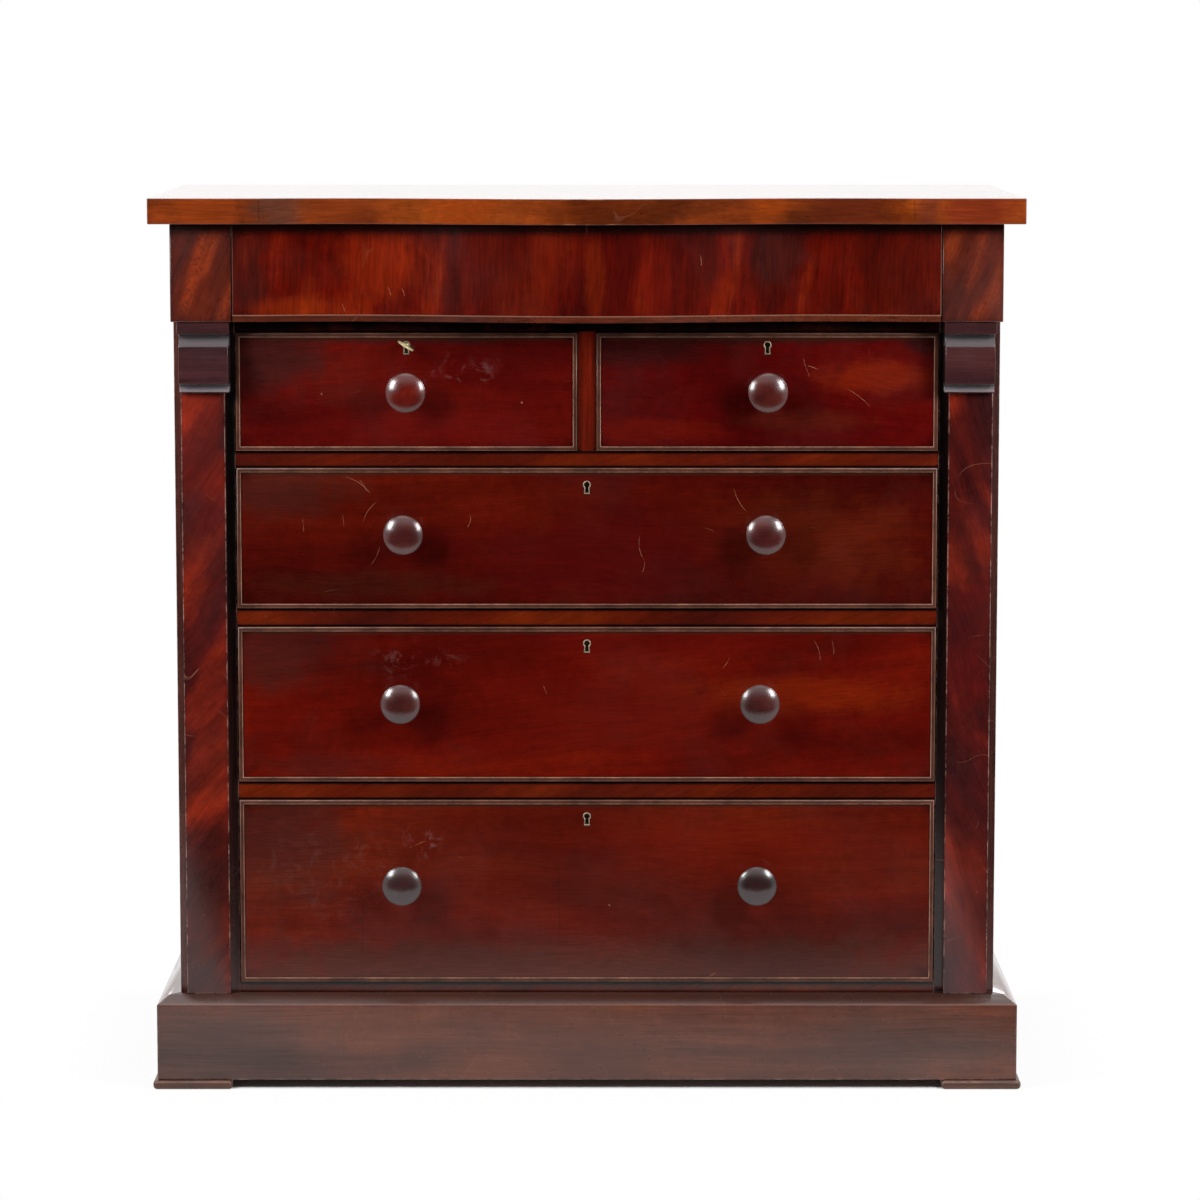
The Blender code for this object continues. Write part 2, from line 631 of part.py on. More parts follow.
def make_drawer(name, opening, knob_shares, knob_height_share, key_drop, shared, materials):
    """A beaded drawer in its opening: left, right, low and high edges."""
    left, right, low, high = opening
    width = right - left - 2 * DRAWER_SIDE_GAP
    height = high - low - GAP - DRAWER_TOP_GAP
    holder = empty(name + "_slide", ((left + right) / 2, drawer_y, low + GAP))
    knobs = [((share - 1 / 2) * width, knob_height_share * height) for share in knob_shares]
    key_z = height - key_drop
    make_front(name, width, height, knobs, key_drop, materials, holder)
    make_bead(name, width, height, materials, holder)
    make_box(name, width, height, FRONT_THICKNESS, materials, holder)
    names = [name + "_knob"] if len(knobs) == 1 else [name + "_knob_left", name + "_knob_right"]
    for knob_name, (x, z) in zip(names, knobs):
        piece(knob_name, shared["knob"], materials["dark"], holder, (x, 0, z))
    piece(name + "_escutcheon", shared["escutcheon"], materials["brass"], holder, (0, 0, key_z))
    keyed = name == KEYED_DRAWER
    make_lock(name, key_drop, materials, holder, key_z, keyed)
    if keyed:
        make_key(holder, key_z, materials)


def make_frieze_drawer(materials):
    """The drawer hidden in the frieze: a thick curved front pulled by its lower edge."""
    half = opening_half - DRAWER_SIDE_GAP
    width = 2 * half
    height = FRIEZE_HEIGHT - GAP - DRAWER_TOP_GAP
    holder = empty("frieze_drawer_slide", (0.0, face_y, frieze_z + GAP))
    outline = [(-half, FRIEZE_FRONT_SINK), (half, FRIEZE_FRONT_SINK), (half, -FRIEZE_PROJECTION)]
    outline += serpentine_points(-FRIEZE_PROJECTION)
    outline += [(-half, -FRIEZE_PROJECTION)]
    front = upright("frieze_drawer_front", outline, 0.0, height)
    piece("frieze_drawer_front", front, materials["veneer"], holder)
    make_box("frieze_drawer", width, height, FRIEZE_FRONT_SINK, materials, holder)


def build():
    clear_scene()
    materials = {
        "top": wood_or_metal("Top mahogany", (0.20, 0.060, 0.020), 0.30),
        "case": wood_or_metal("Case mahogany", (0.095, 0.018, 0.010), 0.35),
        "veneer": wood_or_metal("Figured mahogany veneer", (0.115, 0.022, 0.011), 0.30),
        "mahogany": wood_or_metal("Drawer mahogany", (0.100, 0.012, 0.007), 0.32),
        "bead": wood_or_metal("Worn bead", (0.130, 0.045, 0.028), 0.45),
        "dark": wood_or_metal("Dark turned mahogany", (0.035, 0.010, 0.010), 0.22),
        "plinth": wood_or_metal("Plinth mahogany", (0.085, 0.030, 0.020), 0.42),
        "pine": wood_or_metal("Pine", (0.45, 0.28, 0.13), 0.65),
        "brass": wood_or_metal("Old brass", (0.60, 0.47, 0.22), 0.35, 1.0),
    }
    shared = {"knob": knob_mesh(), "escutcheon": escutcheon_mesh()}

    make_plinth(materials)
    make_sides(materials)
    make_boards(materials)
    make_corbels_and_pilasters(materials)
    make_frieze_blocks(materials)
    make_top(materials)

    make_frieze_drawer(materials)
    half = opening_half
    post = MUNTIN_WIDTH / 2
    short_left = (-half, -post, short_z, frieze_rail_z)
    short_right = (post, half, short_z, frieze_rail_z)
    upper = (-half, half, upper_z, short_rail_z)
    middle = (-half, half, middle_z, upper_rail_z)
    lower = (-half, half, lower_z, middle_rail_z)
    drawers = (
        ("short_left_drawer", short_left, SHORT_KNOB_SHARES, SHORT_KNOB_HEIGHT_SHARE, SHORT_KEY_DROP),
        ("short_right_drawer", short_right, SHORT_KNOB_SHARES, SHORT_KNOB_HEIGHT_SHARE, SHORT_KEY_DROP),
        ("upper_drawer", upper, UPPER_KNOB_SHARES, UPPER_KNOB_HEIGHT_SHARE, LONG_KEY_DROP),
        ("middle_drawer", middle, MIDDLE_KNOB_SHARES, MIDDLE_KNOB_HEIGHT_SHARE, LONG_KEY_DROP),
        ("lower_drawer", lower, LOWER_KNOB_SHARES, LOWER_KNOB_HEIGHT_SHARE, LONG_KEY_DROP),
    )
    for drawer in drawers:
        make_drawer(*drawer, shared, materials)


build()
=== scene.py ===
import math
import bmesh
import bpy
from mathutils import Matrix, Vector
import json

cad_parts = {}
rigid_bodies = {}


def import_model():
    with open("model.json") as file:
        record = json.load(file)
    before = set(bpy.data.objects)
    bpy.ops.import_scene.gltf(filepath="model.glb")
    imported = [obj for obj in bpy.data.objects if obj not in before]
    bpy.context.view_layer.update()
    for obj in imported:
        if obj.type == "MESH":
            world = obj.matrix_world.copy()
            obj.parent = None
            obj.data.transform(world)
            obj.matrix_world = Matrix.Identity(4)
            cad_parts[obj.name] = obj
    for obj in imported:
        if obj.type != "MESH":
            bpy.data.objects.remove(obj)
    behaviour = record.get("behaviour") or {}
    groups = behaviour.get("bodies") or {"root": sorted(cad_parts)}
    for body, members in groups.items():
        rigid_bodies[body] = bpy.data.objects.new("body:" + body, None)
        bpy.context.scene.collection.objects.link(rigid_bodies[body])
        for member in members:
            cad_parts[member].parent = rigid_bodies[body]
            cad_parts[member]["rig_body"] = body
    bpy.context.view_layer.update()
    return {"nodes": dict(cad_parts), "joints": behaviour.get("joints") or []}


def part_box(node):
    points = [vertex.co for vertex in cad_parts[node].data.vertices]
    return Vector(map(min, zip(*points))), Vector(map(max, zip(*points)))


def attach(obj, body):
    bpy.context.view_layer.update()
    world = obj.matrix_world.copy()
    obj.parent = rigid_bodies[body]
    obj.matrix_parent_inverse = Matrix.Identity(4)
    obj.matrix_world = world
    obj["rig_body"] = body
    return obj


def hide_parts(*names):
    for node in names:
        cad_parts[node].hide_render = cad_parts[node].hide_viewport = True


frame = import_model()
cadNodes = frame["nodes"]

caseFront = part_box("side_left")[0].y  # plane of the stiles and rails
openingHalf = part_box("frieze_block_right")[0].x  # half the width between the frieze blocks
pastEdge = 0.02  # how far a band of colour at an edge reaches beyond the piece
shortDrawers = ("short_left_drawer", "short_right_drawer")
longDrawers = ("upper_drawer", "middle_drawer", "lower_drawer")
beadedDrawers = shortDrawers + longDrawers
print("frame loaded:", len(cadNodes), "nodes")


# Small helpers for node trees
def addNode(tree, kind, inputs=None, **settings):
    node = tree.nodes.new(kind)
    for label, value in settings.items():
        setattr(node, label, value)
    for label, value in (inputs or {}).items():
        if isinstance(value, bpy.types.NodeSocket):
            tree.links.new(value, node.inputs[label])
        else:
            node.inputs[label].default_value = value
    return node


def maths(tree, operation, first, second=0.0, clamp=False):
    return addNode(tree, "ShaderNodeMath", {0: first, 1: second}, operation=operation, use_clamp=clamp).outputs[0]


def times(tree, first, second):
    return maths(tree, "MULTIPLY", first, second)


def vectorMaths(tree, operation, first, second):
    return addNode(tree, "ShaderNodeVectorMath", {0: first, 1: second}, operation=operation).outputs[0]


def dotProduct(tree, first, second):
    return addNode(tree, "ShaderNodeVectorMath", {0: first, 1: second}, operation="DOT_PRODUCT").outputs["Value"]


def joinXyz(tree, x=0.0, y=0.0, z=0.0):
    return addNode(tree, "ShaderNodeCombineXYZ", {0: x, 1: y, 2: z}).outputs[0]


def splitXyz(tree, vector):
    return addNode(tree, "ShaderNodeSeparateXYZ", {0: vector}).outputs


def remap(tree, value, low, high, toLow=0.0, toHigh=1.0, kind="LINEAR"):
    inputs = {"Value": value, "From Min": low, "From Max": high, "To Min": toLow, "To Max": toHigh}
    return addNode(tree, "ShaderNodeMapRange", inputs, interpolation_type=kind).outputs["Result"]


def mixColour(tree, factor, first, second, blend="MIX"):
    inputs = {0: factor, 6: first, 7: second}
    return addNode(tree, "ShaderNodeMix", inputs, data_type="RGBA", blend_type=blend).outputs[2]


def noise(tree, vector, scale, detail=2.0, roughness=0.5, distortion=0.0, seed=0.0):
    inputs = {"Vector": vector, "W": seed, "Scale": scale, "Detail": detail, "Roughness": roughness,
              "Distortion": distortion}
    return addNode(tree, "ShaderNodeTexNoise", inputs, noise_dimensions="4D").outputs


def rgba(colour):
    return (*colour, 1.0)


socketKinds = {float: "Float", int: "Int", tuple: "Vector"}


def openTree(name, kind, inputs, outputs):
    tree = bpy.data.node_groups.new(name, kind)
    for label, given in inputs.items():  # a default value, or the kind of an input that has none
        socketKind = socketKinds.get(type(given), given)
        socket = tree.interface.new_socket(label, in_out="INPUT", socket_type="NodeSocket" + socketKind)
        if given != socketKind:
            socket.default_value = given
    for label, socketKind in outputs.items():
        tree.interface.new_socket(label, in_out="OUTPUT", socket_type="NodeSocket" + socketKind)
    return tree, tree.nodes.new("NodeGroupInput").outputs, tree.nodes.new("NodeGroupOutput").inputs


def openGroup(name, inputs, outputs):
    return openTree(name, "ShaderNodeTree", {"Vector": "Vector", **inputs}, dict.fromkeys(outputs, "Float"))


def useGroup(tree, group, inputs):
    return addNode(tree, "ShaderNodeGroup", inputs, node_tree=group).outputs


def openMaterial(name):
    material = bpy.data.materials.new(name)
    material.use_nodes = True
    return material, material.node_tree, material.node_tree.nodes["Principled BSDF"]


# Shared shader groups
grainDetail = {
    "swirlScale": 3.0, "bandShare": 0.12, "poreShare": 3.0,  # bands' and pores' fineness beside the streaks'
    "poreStretch": 14.0,
    "limits": {"Streaks": (0.32, 0.68), "Bands": (0.32, 0.68), "Figure": (0.30, 0.70), "Pores": (0.60, 0.72)},
}


def makeGrainGroup():
    tree, given, result = openGroup("figuredGrain", {
        "Fineness": 350.0, "Stretch": 40.0, "Figure Size": 8.0, "Figure Stretch": 3.0, "Waviness": 0.01,
        "Seed": 0.0}, ("Streaks", "Bands", "Figure", "Pores"))
    swirl = noise(tree, given["Vector"], grainDetail["swirlScale"], seed=given["Seed"])["Color"]
    centred = vectorMaths(tree, "SUBTRACT", swirl, (0.5, 0.5, 0.5))
    spread = joinXyz(tree, given["Waviness"], given["Waviness"], given["Waviness"])
    bent = vectorMaths(tree, "ADD", given["Vector"], vectorMaths(tree, "MULTIPLY", centred, spread))

    def stretched(amount):  # the pattern drawn out along X
        return vectorMaths(tree, "MULTIPLY", bent, joinXyz(tree, maths(tree, "DIVIDE", 1.0, amount), 1.0, 1.0))

    long = stretched(given["Stretch"])
    fine = noise(tree, long, given["Fineness"], 3.0, 0.6, seed=given["Seed"])["Fac"]
    wide = noise(tree, long, times(tree, given["Fineness"], grainDetail["bandShare"]), seed=given["Seed"])["Fac"]
    broad = noise(tree, stretched(given["Figure Stretch"]), given["Figure Size"], 3.0, 0.5, 0.5,
                  given["Seed"])["Fac"]
    short = noise(tree, stretched(grainDetail["poreStretch"]),
                  times(tree, given["Fineness"], grainDetail["poreShare"]), 1.0)["Fac"]
    for label, value in (("Streaks", fine), ("Bands", wide), ("Figure", broad), ("Pores", short)):
        tree.links.new(remap(tree, value, *grainDetail["limits"][label]), result[label])
    return tree


def makeEdgeGroup():  # the distance to the nearest edge of a box, not to its nearest face
    tree, given, result = openGroup("edgeDistance", {"Low": "Vector", "High": "Vector"}, ("Distance",))
    fromLow = vectorMaths(tree, "SUBTRACT", given["Vector"], given["Low"])
    fromHigh = vectorMaths(tree, "SUBTRACT", given["High"], given["Vector"])
    nearest = vectorMaths(tree, "MINIMUM", fromLow, fromHigh)
    parts = splitXyz(tree, vectorMaths(tree, "ABSOLUTE", nearest, (0, 0, 0)))
    lesser = maths(tree, "MINIMUM", parts[0], parts[1])
    greater = maths(tree, "MAXIMUM", parts[0], parts[1])
    second = maths(tree, "MAXIMUM", lesser, maths(tree, "MINIMUM", greater, parts[2]))
    tree.links.new(second, result["Distance"])
    return tree


def makeScratchGroup():
    tree, given, result = openGroup(
        "hairScratches", {"Scale": 7.0, "Width": 0.003, "Rarity": 0.6, "Seed": 0.0}, ("Mask",))
    masks = []
    for offset, share in ((0.0, 1.0), (9.0, 1.9)):
        seed = maths(tree, "ADD", given["Seed"], offset)
        scale = times(tree, given["Scale"], share)
        curve = noise(tree, given["Vector"], scale, 0.0, 0.5, 0.6, seed)["Fac"]
        away = maths(tree, "ABSOLUTE", maths(tree, "SUBTRACT", curve, 0.5))
        line = maths(tree, "SUBTRACT", 1.0, maths(tree, "DIVIDE", away, given["Width"]), clamp=True)
        rare = noise(tree, given["Vector"], times(tree, scale, 1.6), 1.0, seed=maths(tree, "ADD", seed, 3.0))
        limit = maths(tree, "ADD", given["Rarity"], 0.06)
        masks.append(times(tree, line, remap(tree, rare["Fac"], given["Rarity"], limit)))
    tree.links.new(maths(tree, "MAXIMUM", masks[0], masks[1]), result["Mask"])
    return tree


def makePitGroup():
    tree, given, result = openGroup("smallPits", {"Scale": 40.0, "Size": 0.08, "Rarity": 0.85}, ("Mask",))
    cell = addNode(tree, "ShaderNodeTexVoronoi", {"Vector": given["Vector"], "Scale": given["Scale"]}).outputs
    spot = maths(tree, "SUBTRACT", 1.0, maths(tree, "DIVIDE", cell["Distance"], given["Size"]), clamp=True)
    pick = splitXyz(tree, cell["Color"])[0]
    chosen = maths(tree, "GREATER_THAN", pick, given["Rarity"])
    tree.links.new(times(tree, spot, chosen), result["Mask"])
    return tree


def makeHazeGroup():
    tree, given, result = openGroup("waxHaze", {"Scale": 7.0, "Seed": 0.0}, ("Mask", "Smear"))
    cloud = noise(tree, given["Vector"], given["Scale"], 5.0, 0.62, 0.4, given["Seed"])["Fac"]
    smear = noise(tree, given["Vector"], times(tree, given["Scale"], 6.0), 4.0, 0.7, 1.0, given["Seed"])["Fac"]
    tree.links.new(remap(tree, cloud, 0.48, 0.72), result["Mask"])
    tree.links.new(remap(tree, smear, 0.35, 0.70), result["Smear"])
    return tree


def makeArcGroup():
    tree, given, result = openGroup("scratchArc", {
        "Start": "Vector", "Along": "Vector", "Across": "Vector", "Bend": 0.0, "Width": 0.0005}, ("Mask",))
    place = vectorMaths(tree, "SUBTRACT", given["Vector"], given["Start"])
    share = dotProduct(tree, place, given["Along"])  # 0 at the start, 1 at the end
    left = maths(tree, "SUBTRACT", 1.0, share)
    arch = times(tree, times(tree, share, left), given["Bend"])
    away = maths(tree, "ABSOLUTE", maths(tree, "SUBTRACT", dotProduct(tree, place, given["Across"]), arch))
    line = maths(tree, "SUBTRACT", 1.0, maths(tree, "DIVIDE", away, given["Width"]), clamp=True)
    ends = remap(tree, maths(tree, "MINIMUM", share, left), 0.0, 0.15)
    worn = noise(tree, given["Vector"], 220.0, 2.0)["Fac"]
    broken = times(tree, ends, remap(tree, worn, 0.35, 0.55, 0.3, 1.0))
    tree.links.new(times(tree, line, broken), result["Mask"])
    return tree


def makePatchGroup():
    tree, given, result = openGroup(
        "softPatch", {"Centre": "Vector", "Size": (1.0, 1.0, 1.0), "Ragged": 0.5}, ("Mask",))
    place = vectorMaths(tree, "SUBTRACT", given["Vector"], given["Centre"])
    place = vectorMaths(tree, "DIVIDE", place, given["Size"])
    reach = maths(tree, "SQRT", dotProduct(tree, place, place))
    cloud = noise(tree, given["Vector"], 22.0, 5.0, 0.68)["Fac"]
    stir = times(tree, maths(tree, "SUBTRACT", cloud, 0.5), given["Ragged"])
    reach = maths(tree, "ADD", reach, times(tree, stir, 2.0))
    tree.links.new(remap(tree, reach, 0.35, 1.1, 1.0, 0.0, "SMOOTHSTEP"), result["Mask"])
    return tree


grainGroup = makeGrainGroup()
arcGroup = makeArcGroup()
patchGroup = makePatchGroup()
edgeGroup = makeEdgeGroup()
scratchGroup = makeScratchGroup()
pitGroup = makePitGroup()
hazeGroup = makeHazeGroup()

# What a wood finish is made of; each piece's own dictionary changes some of these
plainWood = {
    "dark": (0.035, 0.005, 0.003), "mid": (0.080, 0.009, 0.004), "light": (0.130, 0.020, 0.006),
    "grain": 0, "alongDepth": False, "seed": 1.0,  # grain is in degrees, or runs from front to back
    "fineness": 380, "stretch": 45, "figureSize": 7, "figureStretch": 3.0, "waviness": 0.03,
    "streakDepth": 0.45, "bandDepth": 0.30, "poreDepth": 0.35, "mottle": 0.10,
    "low": None, "high": None,  # the box from whose edges dirt, painted shade and wear are measured
    # dirt and painted shade darken the last stretch towards the box's edges
    "dirtAndShadeWidth": 0.03, "dirtAndShadeAmount": 0.0,
    "wearWidth": 0.0012, "wearAmount": 0.0, "wearColour": (0.30, 0.17, 0.11),
    "hazeAmount": 0.0, "hazeColour": (0.085, 0.035, 0.032), "pitAmount": 0.0,
    "scratchAmount": 0.0, "scratchRarity": 0.62, "scratchColour": (0.50, 0.22, 0.13),
    "crackColour": (0.012, 0.003, 0.002),
    "roughness": 0.20, "bump": 0.10, "coat": 0.0, "coatRoughness": 0.06,
    "patches": (), "smears": (),  # centre x, z, half width, half height, colour, amount
    "ragged": 0.9, "patchDepth": (0.0, 9.0),  # the patches' centre y and half depth
    "bands": (), "bandFade": 0.0005,  # low z, high z, colour at the low side, colour at the high side, amount
    "scratches": (), "cracks": (),  # start x, z, end x, z, bend, width
    "stripes": (),  # as a scratch, with a colour and an amount after it
}
woodDetail = {
    "lightShare": 0.6,  # how far streaks and bands lighten, as a share of how far they darken
    "smearLimits": (0.45, 0.85), "patchStreaks": (0.72, 1.22), "patchFigure": (0.65, 1.40),
    "stripeStreaks": (0.5, 1.2), "dirtAndShadeRagged": 0.6, "dirtShade": 0.25, "wearCore": 0.4, "wearLimits": (0.25, 0.75),
    "streakRise": 0.5, "pitShade": 0.2, "pitDeep": 4.0, "hazeRoughness": 0.06, "smearRoughness": 0.03,
    "bumpDistance": 0.0005,
}


def plainBand(low, high, colour, amount):
    return low, high, colour, colour, amount


def arcMask(tree, place, arc):
    startX, startZ, endX, endZ, bend, width = arc
    runX, runZ = endX - startX, endZ - startZ
    length = math.hypot(runX, runZ)
    return useGroup(tree, arcGroup, {
        "Vector": place, "Start": (startX, 0.0, startZ), "Along": (runX / length ** 2, 0.0, runZ / length ** 2),
        "Across": (-runZ / length, 0.0, runX / length), "Bend": bend * 4, "Width": width})["Mask"]


def woodMaterial(name, **changes):
    look = {**plainWood, **changes}
    material, tree, shader = openMaterial(name)
    place = addNode(tree, "ShaderNodeTexCoord").outputs["Object"]
    turn = (0, 0, math.radians(-90)) if look["alongDepth"] else (0, math.radians(look["grain"]), 0)
    along = addNode(tree, "ShaderNodeMapping", {"Vector": place, "Rotation": turn}).outputs["Vector"]
    grain = useGroup(tree, grainGroup, {
        "Vector": along, "Fineness": look["fineness"], "Stretch": look["stretch"], "Waviness": look["waviness"],
        "Figure Size": look["figureSize"], "Figure Stretch": look["figureStretch"], "Seed": look["seed"]})
    haze = useGroup(tree, hazeGroup, {"Vector": place, "Seed": look["seed"]})

    lower = remap(tree, grain["Figure"], 0.0, 0.5)
    upper = remap(tree, grain["Figure"], 0.5, 1.0)
    colour = mixColour(tree, lower, rgba(look["dark"]), rgba(look["mid"]))
    colour = mixColour(tree, upper, colour, rgba(look["light"]))
    for value, atLow, atHigh in (
            (grain["Streaks"], 1 - look["streakDepth"], 1 + look["streakDepth"] * woodDetail["lightShare"]),
            (grain["Bands"], 1 - look["bandDepth"], 1 + look["bandDepth"] * woodDetail["lightShare"]),
            (grain["Pores"], 1.0, 1 - look["poreDepth"]),
            (haze["Smear"], 1 - look["mottle"], 1 + look["mottle"])):
        colour = mixColour(tree, 1.0, colour, remap(tree, value, 0.0, 1.0, atLow, atHigh), "MULTIPLY")
    if look["hazeAmount"]:
        amount = times(tree, haze["Mask"], look["hazeAmount"])
        colour = mixColour(tree, amount, colour, rgba(look["hazeColour"]))
    centreY, halfDeep = look["patchDepth"]
    for spots, smeared in ((look["patches"], False), (look["smears"], True)):
        for x, z, halfWide, halfTall, tint, amount in spots:
            inside = useGroup(tree, patchGroup, {
                "Vector": place, "Centre": (x, centreY, z), "Size": (halfWide, halfDeep, halfTall),
                "Ragged": look["ragged"]})
            inside = times(tree, inside["Mask"], amount)
            if smeared:
                inside = times(tree, inside, remap(tree, haze["Smear"], *woodDetail["smearLimits"]))
            shade = times(tree, remap(tree, grain["Streaks"], 0.0, 1.0, *woodDetail["patchStreaks"]),
                          remap(tree, grain["Figure"], 0.0, 1.0, *woodDetail["patchFigure"]))
            colour = mixColour(tree, inside, colour, mixColour(tree, 1.0, rgba(tint), shade, "MULTIPLY"))
    for *run, tint, amount in look["stripes"]:
        inside = times(tree, arcMask(tree, place, run), amount)
        inside = times(tree, inside, remap(tree, grain["Streaks"], 0.0, 1.0, *woodDetail["stripeStreaks"]))
        colour = mixColour(tree, inside, colour, rgba(tint))
    fade = look["bandFade"]
    for bandLow, bandHigh, lowTint, highTint, amount in look["bands"]:
        level = splitXyz(tree, place)[2]
        inside = maths(tree, "MINIMUM", remap(tree, level, bandLow - fade, bandLow + fade),
                       remap(tree, level, bandHigh - fade, bandHigh + fade, 1.0, 0.0))
        tint = mixColour(tree, remap(tree, level, bandLow, bandHigh), rgba(lowTint), rgba(highTint))
        colour = mixColour(tree, times(tree, inside, amount), colour, tint)

    if look["low"] is not None:
        edge = useGroup(tree, edgeGroup, {"Vector": place, "Low": look["low"], "High": look["high"]})["Distance"]
        # darker towards the box's edges: dirt, and painted shade where gaps and neighbouring parts shadow the edges
        ragged = maths(tree, "MULTIPLY_ADD", haze["Smear"], look["dirtAndShadeWidth"] * -woodDetail["dirtAndShadeRagged"])
        ragged.node.inputs[2].default_value = look["dirtAndShadeWidth"]
        dirtAndShade = remap(tree, maths(tree, "DIVIDE", edge, ragged), 0.0, 1.0, look["dirtAndShadeAmount"], 0.0, "SMOOTHSTEP")
        colour = mixColour(tree, dirtAndShade, colour, rgba([share * woodDetail["dirtShade"] for share in look["dark"]]))
        if look["wearAmount"]:
            core = look["wearWidth"] * woodDetail["wearCore"]
            rub = remap(tree, edge, core, look["wearWidth"], look["wearAmount"], 0.0)
            rub = times(tree, rub, remap(tree, haze["Smear"], *woodDetail["wearLimits"]))
            colour = mixColour(tree, rub, colour, rgba(look["wearColour"]))

    height = maths(tree, "SUBTRACT", times(tree, grain["Streaks"], woodDetail["streakRise"]), grain["Pores"])
    if look["pitAmount"]:
        pit = useGroup(tree, pitGroup, {"Vector": place})["Mask"]
        pit = times(tree, pit, look["pitAmount"])
        colour = mixColour(tree, pit, colour, rgba([share * woodDetail["pitShade"] for share in look["dark"]]))
        height = maths(tree, "SUBTRACT", height, times(tree, pit, woodDetail["pitDeep"]))
    if look["scratchAmount"]:
        hair = useGroup(tree, scratchGroup, {
            "Vector": place, "Seed": look["seed"], "Rarity": look["scratchRarity"]})
        hair = times(tree, hair["Mask"], look["scratchAmount"])
        colour = mixColour(tree, hair, colour, rgba(look["scratchColour"]))
        height = maths(tree, "SUBTRACT", height, hair)
    for arcs, tint in ((look["scratches"], look["scratchColour"]), (look["cracks"], look["crackColour"])):
        for arc in arcs:
            mark = arcMask(tree, place, arc)
            colour = mixColour(tree, mark, colour, rgba(tint))
            height = maths(tree, "SUBTRACT", height, mark)
    tree.links.new(colour, shader.inputs["Base Color"])
    gloss = remap(tree, haze["Mask"], 0.0, 1.0, look["roughness"], look["roughness"] + woodDetail["hazeRoughness"])
    gloss = maths(tree, "ADD", gloss, times(tree, haze["Smear"], woodDetail["smearRoughness"]))
    tree.links.new(gloss, shader.inputs["Roughness"])
    shader.inputs["Coat Weight"].default_value = look["coat"]
    shader.inputs["Coat Roughness"].default_value = look["coatRoughness"]
    bump = addNode(tree, "ShaderNodeBump", {
        "Strength": look["bump"], "Distance": woodDetail["bumpDistance"], "Height": height})
    tree.links.new(bump.outputs["Normal"], shader.inputs["Normal"])
    return material


def beadMaterial():
    look = {"brown": (0.096, 0.031, 0.018), "deep": (0.036, 0.011, 0.007), "worn": (0.54, 0.30, 0.20),
            "lineWidth": 0.090, "lineStart": 0.3, "lineEnds": (1.3, 2.2),  # these two as shares of the width
            "outerLine": 0.42, "innerLine": 0.92, "patchScale": 28.0, "nickScale": 160.0, "roughness": 0.34,
            "specular": 0.3, "bump": 0.25, "bumpDistance": 0.0006}
    material, tree, shader = openMaterial("beadWearAndHighlight")
    across = splitXyz(tree, addNode(tree, "ShaderNodeUVMap", uv_map="strip").outputs[0])["Y"]
    place = addNode(tree, "ShaderNodeTexCoord").outputs["Object"]
    patches = noise(tree, place, look["patchScale"], 4.0, 0.7)["Fac"]
    nicks = noise(tree, place, look["nickScale"], 3.0, 0.7, 0.6)["Fac"]
    fromEdge = maths(tree, "MINIMUM", across, maths(tree, "SUBTRACT", 1.0, across))
    ends = (look["lineWidth"] * share for share in look["lineEnds"])
    # the light lines along both arrises: wear, and a painted highlight on the rounded edges
    line = remap(tree, fromEdge, *ends, 1.0, 0.0, "SMOOTHSTEP")
    line = times(tree, line, remap(tree, fromEdge, look["lineWidth"] * look["lineStart"], look["lineWidth"]))
    broken = times(tree, remap(tree, patches, 0.38, 0.60, 0.45, 1.0),
                   remap(tree, nicks, 0.30, 0.55, 0.4, 1.0))
    rub = times(tree, line, broken)
    colour = mixColour(tree, remap(tree, patches, 0.35, 0.65), rgba(look["deep"]), rgba(look["brown"]))
    inner = remap(tree, across, 0.3, 0.7, look["outerLine"], look["innerLine"])  # clearer beside the drawer face
    colour = mixColour(tree, times(tree, rub, inner), colour, rgba(look["worn"]))
    tree.links.new(colour, shader.inputs["Base Color"])
    shader.inputs["Roughness"].default_value = look["roughness"]
    shader.inputs["Specular IOR Level"].default_value = look["specular"]
    bump = addNode(tree, "ShaderNodeBump", {
        "Strength": look["bump"], "Distance": look["bumpDistance"], "Height": nicks})
    tree.links.new(bump.outputs["Normal"], shader.inputs["Normal"])
    return material


plainMetal = {"tarnish": 0.7, "scale": 60.0, "seed": 4.0, "metallic": 0.65, "roughness": (0.36, 0.56), "bump": 0.1}
metals = {
    "dullBrass": {"bright": (0.44, 0.34, 0.24), "dull": (0.18, 0.12, 0.08)},
    "handledBrass": {"bright": (0.88, 0.78, 0.45), "dull": (0.55, 0.44, 0.20)},
    "oldIron": {"bright": (0.07, 0.06, 0.055), "dull": (0.16, 0.065, 0.03), "tarnish": 1.0, "scale": 90.0,
                "seed": 2.0, "metallic": 0.6, "roughness": (0.45, 0.8), "bump": 0.0},
}


def metalMaterial(name):
    look = {**plainMetal, **metals[name]}
    material, tree, shader = openMaterial(name)
    place = addNode(tree, "ShaderNodeTexCoord").outputs["Object"]
    smear = useGroup(tree, hazeGroup, {"Vector": place, "Scale": look["scale"], "Seed": look["seed"]})["Smear"]
    colour = mixColour(tree, times(tree, smear, look["tarnish"]), rgba(look["bright"]), rgba(look["dull"]))
    tree.links.new(colour, shader.inputs["Base Color"])
    shader.inputs["Metallic"].default_value = look["metallic"]
    tree.links.new(remap(tree, smear, 0.0, 1.0, *look["roughness"]), shader.inputs["Roughness"])
    if look["bump"]:
        bump = addNode(tree, "ShaderNodeBump", {"Strength": look["bump"], "Distance": 0.0003, "Height": smear})
        tree.links.new(bump.outputs["Normal"], shader.inputs["Normal"])
    return material


# Meshes and objects
def addObject(name, data):
    added = bpy.data.objects.new(name, data)
    bpy.context.scene.collection.objects.link(added)
    return added


def newPiece(name, mesh, material, body, replaced=()):
    piece = addObject(name, mesh)
    if material is not None:
        mesh.materials.clear()
        mesh.materials.append(material)
    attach(piece, body)
    if replaced:
        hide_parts(*replaced)
    return piece


